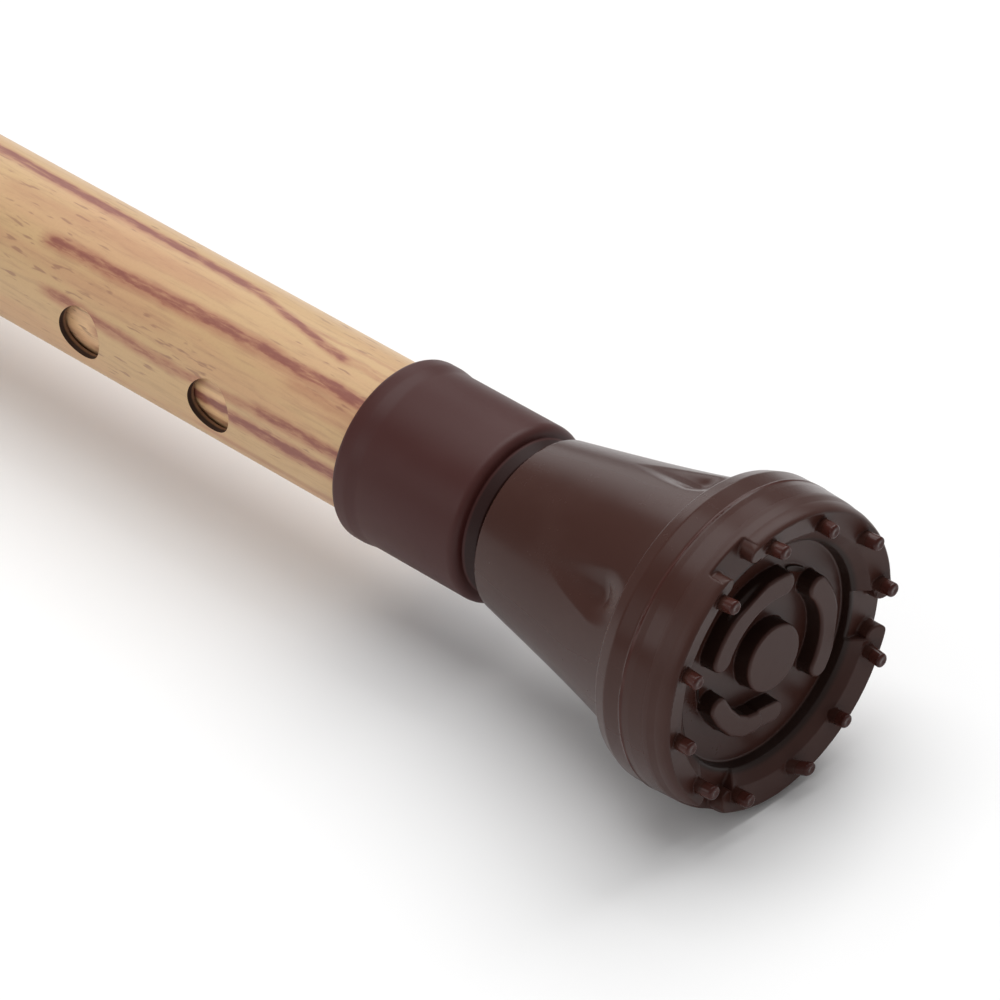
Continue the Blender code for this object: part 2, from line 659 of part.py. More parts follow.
def grip_cage():
    # A tube of sections along the grip, with the stem drawn out of the underside of its middle.
    # Local X runs to the nose, local Z up out of the palm side. A ring of B-spline points settles
    # inside its cage, and the swell makes up for it
    swell = 3 / (2 + math.cos(math.tau / GRIP_SIDES))
    cage = bmesh.new()
    rings = []
    for along, rise, half_height, half_width in GRIP_SECTIONS:
        ring = []
        for side in range(GRIP_SIDES):
            angle = math.tau * side / GRIP_SIDES
            height = rise + half_height * swell * math.sin(angle)
            ring.append(cage.verts.new((along, half_width * swell * math.cos(angle), height)))
        rings.append(ring)
    bottom = GRIP_SIDES * 3 // 4
    opening = {(ring, side) for ring in (STEM_SECTION - 1, STEM_SECTION) for side in (bottom - 1, bottom)}
    for ring in range(len(rings) - 1):
        for side in range(GRIP_SIDES):
            if (ring, side) not in opening:
                after = (side + 1) % GRIP_SIDES
                here, ahead = rings[ring], rings[ring + 1]
                cage.faces.new((here[side], here[after], ahead[after], ahead[side]))
    cage.faces.new(rings[0])
    cage.faces.new(rings[-1])
    front = [rings[STEM_SECTION - 1][bottom + step] for step in (-1, 0, 1)]
    middle = rings[STEM_SECTION]
    rear = [rings[STEM_SECTION + 1][bottom + step] for step in (1, 0, -1)]
    loop = [*front, middle[bottom + 1], *rear, middle[bottom - 1]]
    side_angle = math.tau / GRIP_SIDES
    # The stem is drawn out a ring's length too far, and the cut for the ring trims it
    stem_rings = (
        (STEM_TOP_DEPTH, STEM_TOP_DIAMETER),
        (STEM_DEPTH - RING_LENGTH, STEM_DIAMETER),
        (STEM_DEPTH + RING_LENGTH, STEM_DIAMETER),
    )
    for depth, diameter in stem_rings:
        ring = []
        for corner in loop:
            angle = round(math.atan2(corner.co.y, corner.co.x) / side_angle) * side_angle
            reach = diameter / 2 * swell
            ring.append(cage.verts.new((reach * math.cos(angle), reach * math.sin(angle), -depth)))
        for index in range(len(loop)):
            after = (index + 1) % len(loop)
            cage.faces.new((loop[index], loop[after], ring[after], ring[index]))
        loop = ring
    cage.faces.new(loop)
    bmesh.ops.remove_doubles(cage, verts=cage.verts, dist=0.00001)
    loose = [corner for corner in cage.verts if not corner.link_faces]
    bmesh.ops.delete(cage, geom=loose, context="VERTS")
    return cage


def make_handle(screw_hole):
    upright = Euler((0, -math.pi / 2, 0)).to_matrix() @ Euler((0, 0, -math.pi / 2)).to_matrix()
    handle = add_piece(
        "handle",
        finished_mesh("handle", grip_cage()),
        brown_plastic,
        upper_section,
        (-GRIP_DISTANCE, 0, 0),
        upright.to_euler(),
    )
    soften = handle.modifiers.new("soften", "SUBSURF")
    soften.levels = GRIP_LEVELS
    soften.render_levels = GRIP_LEVELS
    socket = UPPER_RADIUS + SEAT_GAP
    clear = 1.5 * RING_DIAMETER
    stem_cut = turned_helper(
        "stem_cut",
        (
            (STEM_END - clear, 0),
            (STEM_END - clear, clear),
            (STEM_END + RING_LENGTH, clear),
            (STEM_END + RING_LENGTH, REBATE_RADIUS),
            (STEM_END, REBATE_RADIUS),
            (STEM_END, socket),
            (STEM_END + STEM_SOCKET_LENGTH, socket),
            (STEM_END + STEM_SOCKET_LENGTH, 0),
        ),
    )
    combine(handle, stem_cut, "DIFFERENCE")
    combine(handle, screw_hole, "DIFFERENCE")
    ring_outer = RING_DIAMETER / 2
    turned(
        "handle_ring",
        (
            (STEM_END, ring_outer, RING_ROUND),
            (STEM_END + RING_LENGTH - SEAT_GAP, ring_outer, RING_ROUND),
            (STEM_END + RING_LENGTH - SEAT_GAP, ring_outer - RING_THICKNESS),
            (STEM_END, ring_outer - RING_THICKNESS),
        ),
        brass_band,
        upper_section,
    )


def make_handle_plug(screw_hole):
    plug_radius = UPPER_BORE - SEAT_GAP
    plug = turned(
        "handle_plug",
        tube_outline(
            UPPER_TUBE_TOP - HANDLE_PLUG_LENGTH, UPPER_TUBE_TOP, plug_radius, plug_radius - HANDLE_PLUG_WALL
        ),
        natural_nylon,
        upper_section,
    )
    combine(plug, screw_hole, "DIFFERENCE")


def screw_seat():
    return UPPER_RADIUS + SEAT_GAP + SCREW_SEAT_WALL


def make_screw_hole():
    shank = SCREW_DIAMETER / 2 + SEAT_GAP
    head = SCREW_HEAD_DIAMETER / 2 + SEAT_GAP
    tip = screw_seat() - SCREW_LENGTH
    outline = (
        (-2 * screw_seat(), 0),
        (-2 * screw_seat(), head),
        (-screw_seat(), head),
        (-screw_seat(), shank),
        (-tip + SEAT_GAP, shank),
        (-tip + SEAT_GAP, 0),
    )
    return turned_helper(
        "screw_hole", outline, SMALL_TURN_STEPS, (-SCREW_DISTANCE, 0, 0), AWAY_FROM_HOLES
    )


def make_screw():
    seat = screw_seat() + SEAT_GAP
    outline = (
        (-seat - SCREW_HEAD_HEIGHT, 0),
        (-seat - SCREW_HEAD_HEIGHT, SCREW_HEAD_DIAMETER / 2, SCREW_HEAD_ROUND),
        (-seat, SCREW_HEAD_DIAMETER / 2),
        (-seat, SCREW_DIAMETER / 2),
        (-seat + SCREW_LENGTH - SCREW_DIAMETER / 2, SCREW_DIAMETER / 2),
        (-seat + SCREW_LENGTH, SCREW_POINT_DIAMETER / 2),
        (-seat + SCREW_LENGTH, 0),
    )
    turned(
        "handle_screw",
        outline,
        plated_steel,
        upper_section,
        SMALL_TURN_STEPS,
        (-SCREW_DISTANCE, 0, 0),
        AWAY_FROM_HOLES,
    )


make_tip()
make_lower_section()
make_button()
make_spring()
screw_hole = make_screw_hole()
make_upper_tube(screw_hole)
make_collar()
make_handle(screw_hole)
make_handle_plug(screw_hole)
make_screw()
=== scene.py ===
import math

import bmesh
import bpy
import numpy as np
from mathutils import Euler, Matrix, Vector


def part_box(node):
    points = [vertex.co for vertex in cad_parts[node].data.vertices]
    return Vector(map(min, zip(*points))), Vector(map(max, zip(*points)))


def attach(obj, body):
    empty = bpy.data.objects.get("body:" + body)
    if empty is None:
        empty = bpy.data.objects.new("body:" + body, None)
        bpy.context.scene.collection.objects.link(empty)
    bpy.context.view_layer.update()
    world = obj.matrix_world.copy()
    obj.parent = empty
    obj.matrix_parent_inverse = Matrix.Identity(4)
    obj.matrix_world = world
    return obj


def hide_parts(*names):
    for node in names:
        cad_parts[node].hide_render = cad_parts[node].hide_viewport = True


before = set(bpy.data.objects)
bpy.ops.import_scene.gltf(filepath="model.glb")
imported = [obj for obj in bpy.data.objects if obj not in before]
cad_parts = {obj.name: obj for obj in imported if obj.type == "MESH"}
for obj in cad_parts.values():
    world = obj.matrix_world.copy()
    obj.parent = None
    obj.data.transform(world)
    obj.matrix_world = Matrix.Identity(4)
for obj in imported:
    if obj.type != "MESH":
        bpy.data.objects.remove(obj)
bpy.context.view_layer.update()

# Adjustable walking cane, lying on its side. Metres; the shaft runs along X, the tread faces +X.
# Lengths in the dictionaries are millimetres, and mm turns them into metres.
# "From" and "to" along the shaft count from the tread's centre disc towards the handle.
mm = 0.001
scene = bpy.context.scene


# Camera first: it stands where the photographer stood
cameraSettings = {
    "azimuth": 44.04,
    "elevation": 35.40,
    "lens": 239.6,
    "sensor": 36.0,
    "place": (448.402, -514.134, 509.047),
    # Nearest and farthest that it sees, in metres
    "near": 0.02,
    "far": 100.0,
}


def makeCamera(settings):
    camera = bpy.data.objects.new("camera", bpy.data.cameras.new("camera"))
    camera.data.lens = settings["lens"]
    camera.data.sensor_width = settings["sensor"]
    camera.data.clip_start = settings["near"]
    camera.data.clip_end = settings["far"]
    camera.location = Vector(settings["place"]) * mm
    camera.rotation_euler = (math.radians(90 - settings["elevation"]), 0, math.radians(settings["azimuth"]))
    scene.collection.objects.link(camera)
    scene.camera = camera


makeCamera(cameraSettings)
print("camera placed")


# Small helpers for node materials, all at work on the newest finish
newest = {}


def newFinish(name):
    finish = bpy.data.materials.new(name)
    finish.use_nodes = True
    newest["tree"] = finish.node_tree
    return finish, finish.node_tree.nodes["Principled BSDF"]


def addNode(kind):
    return newest["tree"].nodes.new("ShaderNode" + kind)


def link(output, socket):
    newest["tree"].links.new(output, socket)


def dress(shader, color, rough, normal=None):
    link(color, shader.inputs["Base Color"])
    link(rough, shader.inputs["Roughness"])
    if normal is not None:
        link(normal, shader.inputs["Normal"])


def plug(value, socket):
    if isinstance(value, bpy.types.NodeSocket):
        link(value, socket)
    else:
        socket.default_value = value


def maths(operation, *values, clamp=False):
    node = addNode("Math")
    node.operation = operation
    node.use_clamp = clamp
    for value, socket in zip(values, node.inputs):
        plug(value, socket)
    return node.outputs[0]


def product(total, *others):
    for other in others:
        total = maths("MULTIPLY", total, other)
    return total


def around(source, middle, spread):
    # Noise between nought and one, spread round a middle value
    return maths("MULTIPLY_ADD", source, spread, middle - spread / 2)


def remap(value, low, high, newLow=0.0, newHigh=1.0, smooth=True):
    node = addNode("MapRange")
    node.interpolation_type = "SMOOTHSTEP" if smooth else "LINEAR"
    for entry, socket in zip((value, low, high, newLow, newHigh), node.inputs):
        plug(entry, socket)
    return node.outputs[0]


def window(value, rise, fall):
    # One between the two ramps, nought outside them
    return product(remap(value, *rise), remap(value, *fall, 1.0, 0.0))


def grain(scale, shift=(0, 0, 0), detail=2.0, rough=0.5, twist=0.0):
    # Noise, finer along each axis by its own scale
    place = addNode("TexCoord")
    stretch = addNode("Mapping")
    stretch.inputs["Scale"].default_value = scale
    stretch.inputs["Location"].default_value = shift
    link(place.outputs["Object"], stretch.inputs["Vector"])
    node = addNode("TexNoise")
    link(stretch.outputs[0], node.inputs["Vector"])
    node.inputs["Scale"].default_value = 1.0
    node.inputs["Detail"].default_value = detail
    node.inputs["Roughness"].default_value = rough
    node.inputs["Distortion"].default_value = twist
    return node.outputs["Fac"]


def blendColors(share, first, second):
    node = addNode("Mix")
    node.data_type = "RGBA"
    plug(share, node.inputs["Factor"])
    for value, name in ((first, "A"), (second, "B")):
        socket = [entry for entry in node.inputs if entry.name == name and entry.type == "RGBA"][0]
        plug(value if isinstance(value, bpy.types.NodeSocket) else (*value, 1), socket)
    return [entry for entry in node.outputs if entry.type == "RGBA"][0]


def bump(height, strength, distance, after=None):
    node = addNode("Bump")
    node.inputs["Strength"].default_value = strength
    node.inputs["Distance"].default_value = distance
    link(height, node.inputs["Height"])
    if after is not None:
        link(after, node.inputs["Normal"])
    return node.outputs[0]


def turnedPlace():
    # Along the cane's axis from the disc and away from that axis in mm, and the turn round it in degrees
    place = addNode("TexCoord")
    parts = addNode("SeparateXYZ")
    link(place.outputs["Object"], parts.inputs[0])
    x, y, z = parts.outputs
    square = maths("MULTIPLY_ADD", y, y, product(z, z))
    away = product(maths("SQRT", square), 1 / mm)
    turn = product(maths("ARCTAN2", z, product(y, -1.0)), math.degrees(1))
    return product(x, -1 / mm), away, turn


# Wood print: a tan ground, red-brown streaks along the tube, and short pores.
# Each streak lies at a turn round the tube in degrees, which may drift between two places along it
woodPrint = {
    "ground": (0.585, 0.385, 0.195),
    "groundWarm": (0.580, 0.350, 0.185),
    "streak": (0.345, 0.112, 0.070),
    "core": (0.225, 0.066, 0.050),
    "pore": (0.330, 0.175, 0.105),
    "streakShare": 0.95,
    "coreShare": 0.80,
    "poreShare": 0.78,
    "fibreShare": 0.26,
    "speckleShare": 0.16,
    "roughness": 0.40,
    # Degrees that a streak's line strays, slowly and quickly
    "wander": 5.0,
    "ripple": 2.4,
    # Where along and round the tube the listed streaks stand in for the grown ones
    "shown": ((26, 38), (200, 218)),
    "shownTurns": ((-62, -46), (124, 138)),
    "streaks": (
        # from, to, turn at from, turn at to, width, strength
        (96, 230, 100.8, 101.0, 8.0, 0.98),
        (76, 98, 81.5, 100.8, 5.8, 0.90),
        (62, 88, 97.5, 92.6, 2.0, 0.40),
        (60, 80, 87.5, 85.0, 1.8, 0.36),
        (60, 80, 81.0, 83.0, 3.0, 0.44),
        (60, 86, 58.2, 59.6, 7.8, 0.92),
        (84, 128, 59.8, 53.6, 8.4, 0.88),
        (66, 92, 52.0, 54.5, 3.4, 0.40),
        (55, 80, 43.5, 47.5, 5.6, 0.40),
        (50, 72, 36.0, 38.0, 4.0, 0.22),
        (40, 84, 19.6, 18.3, 6.4, 0.84),
        (82, 101, 18.2, 15.4, 5.0, 0.66),
        (100, 125, 15.4, 19.0, 6.6, 0.70),
        (40, 89, 1.6, 3.2, 8.0, 0.90),
        (40, 95, -26.5, -25.0, 5.0, 0.50),
        (98, 140, 80.0, 75.5, 9.0, 0.24),
        (104, 140, 38.0, 36.0, 8.0, 0.16),
    ),
    # Noises: scale along each axis, shift, detail, roughness, distortion
    "grains": {
        "wander": ((90, 130, 130), (0, 0, 0), 1.0),
        "ripple": ((420, 260, 260), (0, 0, 0), 1.0),
        "broad": ((11, 190, 190), (3.1, 1.7, 0.4), 1.5, 0.45, 0.25),
        "narrow": ((16, 420, 420), (0.6, 5.2, 2.9), 1.0, 0.5, 0.2),
        "patches": ((230, 1300, 1300), (0, 0, 0), 4.0, 0.65),
        "warm": ((30, 240, 240), (7.0, 2.0, 1.0)),
        "fibre": ((150, 1900, 1900), (2.0, 0.3, 6.0), 3.0, 0.6),
        "pores": ((300, 1700, 1700), (0, 0, 0), 1.5),
        "poreFields": ((60, 160, 160), (1.0, 9.0, 4.0), 0.0),
        "speckle": ((2600, 2600, 2600), (0, 0, 0), 1.0),
        "sheen": ((50, 300, 300),),
        "peel": ((900, 1500, 1500),),
    },
}


def streakShares(settings, along, turn, waver):
    total = None
    for start, end, turnStart, turnEnd, width, strength in settings["streaks"]:
        centre = remap(along, start, end, turnStart, turnEnd, smooth=False)
        away = maths("SUBTRACT", maths("ADD", turn, waver), centre)
        away = maths("DIVIDE", away, width)
        # A streak's soft sides, in widths from its middle
        across = window(away, (-1.25, -0.15), (0.25, 1.05))
        lengthways = window(along, (start - 3, start + 1), (end - 1, end + 3))
        share = product(across, lengthways, strength)
        total = share if total is None else maths("MAXIMUM", total, share)
    return total


def makeWoodPrint(name, settings):
    finish, shader = newFinish(name)
    grains = {key: grain(*entry) for key, entry in settings["grains"].items()}
    along, _, turn = turnedPlace()
    wander = around(grains["wander"], 0.0, settings["wander"])
    ripple = around(grains["ripple"], 0.0, settings["ripple"])
    drawn = streakShares(settings, along, turn, maths("ADD", wander, ripple))

    # Elsewhere round and along the tube the streaks come from stretched noise
    broad = product(remap(grains["broad"], 0.54, 0.66), 0.85)
    narrow = product(remap(grains["narrow"], 0.60, 0.70), 0.50)
    grown = maths("MAXIMUM", broad, narrow)
    shown = product(window(along, *settings["shown"]), window(turn, *settings["shownTurns"]))
    grown = product(grown, maths("SUBTRACT", 1.0, shown))
    streaks = maths("MAXIMUM", drawn, grown)

    # The ink is uneven inside a streak
    ink = maths("MULTIPLY_ADD", grains["patches"], 1.5, 0.18)
    streaks = maths("MULTIPLY", streaks, ink, clamp=True)

    warm = remap(grains["warm"], 0.40, 0.68)
    fibre = remap(grains["fibre"], 0.46, 0.70, 0.0, settings["fibreShare"])
    pores = remap(grains["pores"], 0.60, 0.72)
    pores = product(pores, remap(grains["poreFields"], 0.42, 0.58))
    core = remap(streaks, 0.55, 1.0, 0.0, settings["coreShare"])
    speckle = maths("MULTIPLY_ADD", grains["speckle"], settings["speckleShare"], -0.03, clamp=True)
    color = blendColors(warm, settings["ground"], settings["groundWarm"])
    color = blendColors(fibre, color, settings["pore"])
    color = blendColors(product(pores, settings["poreShare"]), color, settings["pore"])
    color = blendColors(product(streaks, settings["streakShare"]), color, settings["streak"])
    color = blendColors(core, color, settings["core"])
    color = blendColors(speckle, color, settings["pore"])
    rough = around(grains["sheen"], settings["roughness"], 0.10)
    dress(shader, color, rough, bump(grains["peel"], 0.10, 0.04 * mm))
    return finish


# Moulded browns: rubber tip, vinyl collar and plastic grip share one recipe.
# Each tint: from, to, greatest radius (None: all), share, colour
mouldedFinishes = {
    "tipRubber": {
        "color": (0.045, 0.0150, 0.0105),
        "dusty": (0.057, 0.0235, 0.0180),
        "roughness": 0.22,
        "gloss": 0.22,
        "grain": 0.03,
        # The tread is worn more matt: between which ramps, and by how much
        "worn": ((-1.8, -1.3), (2.0, 3.0), 0.15),
        # Pins are redder as a painted glow of light through the thin rubber, and edges are redder; the pin
        # caps and the recess walls are darker, both as painted shade
        "tints": (
            # Painted glow: the pins redder, as light through the thin rubber
            (-9.0, -1.9, None, 0.85, (0.058, 0.0165, 0.0125)),
            # Painted shade: the pin caps darker
            (-9.0, -2.9, None, 0.85, (0.046, 0.0105, 0.0075)),
            (6.1, 6.5, None, 0.85, (0.058, 0.0165, 0.0125)),
            (11.45, 11.85, None, 0.85, (0.058, 0.0165, 0.0125)),
            # Painted shade: the recess walls darker
            (0.4, 2.45, 16.6, 0.75, (0.013, 0.0070, 0.0050)),
        ),
    },
    "collarVinyl": {
        "color": (0.054, 0.0140, 0.0122),
        "dusty": (0.064, 0.0210, 0.0190),
        "roughness": 0.40,
        "gloss": 0.23,
        "grain": 0.08,
        # The groove below the shoulder is darkened as painted shade
        "tints": ((40.0, 44.4, None, 0.85, (0.018, 0.0055, 0.0045)),),
    },
    "gripPlastic": {
        "color": (0.042, 0.0150, 0.0125),
        "dusty": (0.054, 0.0220, 0.0190),
        "roughness": 0.36,
        "gloss": 0.36,
        "grain": 0.20,
        "tints": (),
    },
}


def makeMoulded(name, settings):
    finish, shader = newFinish(name)
    cloud = grain((55, 90, 90), detail=3.0, rough=0.55)
    fine = grain((1500, 1500, 1500))
    speck = grain((3400, 3400, 3400), (2.0, 5.0, 1.0), detail=0.0)
    rolling = grain((160, 210, 210))
    color = blendColors(remap(cloud, 0.42, 0.72, 0.0, 0.55), settings["color"], settings["dusty"])
    color = blendColors(remap(speck, 0.76, 0.82, 0.0, 0.20), color, settings["dusty"])
    along, away, _ = turnedPlace()
    softEnd = 0.15
    softReach = 0.3
    for start, end, reach, share, tint in settings["tints"]:
        within = window(along, (start - softEnd, start + softEnd), (end - softEnd, end + softEnd))
        if reach is not None:
            within = product(within, remap(away, reach - softReach, reach + softReach, 1.0, 0.0))
        color = blendColors(product(within, share), color, tint)
    shader.inputs["Specular IOR Level"].default_value = settings["gloss"]
    rough = around(cloud, settings["roughness"], 0.16)
    if "worn" in settings:
        rise, fall, amount = settings["worn"]
        rough = maths("ADD", rough, product(window(along, rise, fall), amount))
    rough = maths("MULTIPLY_ADD", fine, 0.06, rough)
    under = bump(rolling, 0.10, 0.10 * mm)
    dress(shader, color, rough, bump(fine, settings["grain"], 0.03 * mm, under))
    return finish


# Metals, each with polishing lines stretched along its axes
metalFinishes = {
    # name: colour, dull colour, roughness, scale of the lines
    "zincPlate": ((0.60, 0.59, 0.57), (0.46, 0.45, 0.44), 0.29, (400, 400, 400)),
    "bluedSpring": ((0.30, 0.31, 0.34), (0.20, 0.21, 0.24), 0.35, (90, 900, 900)),
    "brassBand": ((0.74, 0.55, 0.27), (0.56, 0.39, 0.17), 0.23, (1800, 60, 60)),
}


def makeMetal(name, color, dull, roughness, scale):
    finish, shader = newFinish(name)
    wear = grain((140, 140, 140), detail=3.0)
    lines = grain(scale)
    shader.inputs["Metallic"].default_value = 1.0
    color = blendColors(remap(wear, 0.45, 0.75), color, dull)
    dress(shader, color, around(lines, roughness, 0.22), bump(lines, 0.03, 0.01 * mm))
    return finish


nylonFinish = {"color": (0.64, 0.61, 0.54), "aged": (0.56, 0.51, 0.42), "roughness": 0.52}


def makeNylon(settings):
    finish, shader = newFinish("nylonBush")
    cloud = grain((220, 220, 220), detail=3.0)
    color = blendColors(remap(cloud, 0.4, 0.7), settings["color"], settings["aged"])
    rough = around(cloud, settings["roughness"], 0.2)
    dress(shader, color, rough, bump(cloud, 0.1, 0.05 * mm))
    return finish


# The inner tube carries the same print with other streaks where it shows in the first hole, and a ground
# painted lighter than the outer print's, as painted light in the shaded hole
innerPrint = {
    **woodPrint,
    # Painted light: the ground lighter than the outer print's
    "ground": (0.80, 0.51, 0.26),
    "groundWarm": (0.76, 0.45, 0.25),
    "shown": ((58, 70), (116, 134)),
    "streaks": (
        (70, 116, -5.5, 2.5, 7.5, 1.0),
        (70, 116, 11.0, 13.5, 3.0, 0.50),
        (70, 116, -20.0, -17.0, 4.0, 0.60),
        (70, 116, 24.0, 21.0, 4.0, 0.35),
    ),
}

# A drilled wall is dark with a bright ring that ends at edgeAt, a distance from the cane's axis
drilledEdge = {
    "color": (0.022, 0.008, 0.006),
    "bright": (0.24, 0.125, 0.065),
    "edgeAt": 10.50,
    "edgeSoft": 0.35,
    "roughness": 0.55,
}


def makeDrilledEdge(settings):
    finish, shader = newFinish("drilledEdge")
    ring = grain((900, 900, 900), detail=3.0)
    away = turnedPlace()[1]
    deep = remap(away, settings["edgeAt"] - settings["edgeSoft"], settings["edgeAt"], 1.0, 0.0)
    deep = product(deep, remap(ring, 0.3, 0.7, 0.7, 1.0))
    color = blendColors(deep, settings["color"], settings["bright"])
    dress(shader, color, around(ring, settings["roughness"], 0.2))
    return finish


finishes = {
    "woodPrint": makeWoodPrint("woodPrint", woodPrint),
    "innerPrint": makeWoodPrint("innerPrint", innerPrint),
    "drilledEdge": makeDrilledEdge(drilledEdge),
    "nylonBush": makeNylon(nylonFinish),
}
finishes.update({name: makeMoulded(name, settings) for name, settings in mouldedFinishes.items()})
finishes.update({name: makeMetal(name, *settings) for name, settings in metalFinishes.items()})
print("finishes made:", len(finishes))


# Mesh helpers
def placePiece(name, mesh, materials):
    piece = bpy.data.objects.new(name, mesh)
    scene.collection.objects.link(piece)
    for material in materials:
        mesh.materials.append(material)
    return piece


def addPiece(name, vertices, faces, *materials):
    mesh = bpy.data.meshes.new(name)
    mesh.from_pydata(vertices, [], faces)
    mesh.validate()
    return placePiece(name, mesh, materials)


def pieceFrom(name, shape, *materials):
    mesh = bpy.data.meshes.new(name)
    shape.to_mesh(mesh)
    shape.free()
    return placePiece(name, mesh, materials)


def smoothPiece(piece, angle):
    mesh = piece.data
    mesh.polygons.foreach_set("use_smooth", [True] * len(mesh.polygons))
    mesh.set_sharp_from_angle(angle=math.radians(angle))
    mesh.update()


def roundCorners(outline, steps=5):
    # A corner's third number is the radius of its round
    points = []
    count = len(outline)
    for index, corner in enumerate(outline):
        here = Vector(corner[:2])
        if len(corner) < 3:
            points.append(tuple(here))
            continue
        before = (Vector(outline[index - 1][:2]) - here).normalized()
        after = (Vector(outline[(index + 1) % count][:2]) - here).normalized()
        half = before.angle(after) / 2
        reach = corner[2] / math.tan(half)
        centre = here + (before + after).normalized() * (corner[2] / math.sin(half))
        start = here + before * reach - centre
        end = here + after * reach - centre
        swing = start.angle_signed(end)
        for step in range(steps + 1):
            turnBy = -swing * step / steps
            c, s = math.cos(turnBy), math.sin(turnBy)
            points.append((centre.x + start.x * c - start.y * s, centre.y + start.x * s + start.y * c))
    return points


def lathe(name, outline, sides, *materials):
    # The outline is (from the disc, radius) in mm, closed; a point on the axis becomes one vertex
    vertices, rings = [], []
    for along, radius in roundCorners(outline):
        count = sides if radius else 1
        rings.append(range(len(vertices), len(vertices) + count))
        for side in range(count):
            turn = math.tau * side / sides
            vertices.append((-along * mm, -radius * mm * math.cos(turn), radius * mm * math.sin(turn)))
    faces = []
    for ring, following in zip(rings, rings[1:] + rings[:1]):
        for side in range(sides):
            after = (side + 1) % sides
            a, b = (ring[place % len(ring)] for place in (side, after))
            c, d = (following[place % len(following)] for place in (after, side))
            # Beside a point on the axis a face has three corners
            face = tuple(dict.fromkeys((a, b, c, d)))
            if len(face) > 2:
                faces.append(face)
    piece = addPiece(name, vertices, faces, *materials)
    shape = bmesh.new()
    shape.from_mesh(piece.data)
    bmesh.ops.recalc_face_normals(shape, faces=shape.faces)
    if shape.calc_volume(signed=True) < 0:
        bmesh.ops.reverse_faces(shape, faces=shape.faces)
    shape.to_mesh(piece.data)
    shape.free()
    return piece


def takeModified(piece):
    # The mesh as its modifiers make it, in place of the plain one
    mesh = bpy.data.meshes.new_from_object(piece.evaluated_get(bpy.context.evaluated_depsgraph_get()))
    piece.modifiers.clear()
    piece.data = mesh


def cutWith(piece, cutter):
    modifier = piece.modifiers.new("cut", "BOOLEAN")
    modifier.operation = "DIFFERENCE"
    modifier.solver = "EXACT"
    modifier.object = cutter
    takeModified(piece)
    bpy.data.objects.remove(cutter)


def drill(piece, bits, sides):
    # A bit is the place of its middle along the cane and towards the front, its radius and length in mm
    upright = Euler((math.pi / 2, 0, 0)).to_matrix().to_4x4()
    shape = bmesh.new()
    for along, height, radius, length in bits:
        place = Matrix.Translation((-along * mm, -height * mm, 0)) @ upright
        ends = {"radius1": radius * mm, "radius2": radius * mm, "cap_ends": True}
        bmesh.ops.create_cone(shape, segments=sides, depth=length * mm, matrix=place, **ends)
    cutWith(piece, pieceFrom("bits", shape))


def facings(mesh):
    # Each face, and how squarely it looks away from the cane's axis
    for polygon in mesh.polygons:
        middle = Vector((0, polygon.center.y, polygon.center.z)).normalized()
        yield polygon, polygon.normal.dot(middle)


def markWalls(piece, outward=0.6):
    # Only the outside keeps the first material
    for polygon, across in facings(piece.data):
        polygon.material_index = 0 if across > outward else 1


def roundNormals(piece, square=0.95):
    # Exact normals on a drilled tube, so that the cuts leave no shading seams
    mesh = piece.data
    normals = [None] * len(mesh.loops)
    for polygon, across in facings(mesh):
        for loop in polygon.loop_indices:
            spot = mesh.vertices[mesh.loops[loop].vertex_index].co
            out = Vector((0, spot.y, spot.z)).normalized()
            if abs(across) > square:
                normals[loop] = out if across > 0 else -out
            else:
                normals[loop] = mesh.corner_normals[loop].vector.copy()
    mesh.normals_split_custom_set(normals)


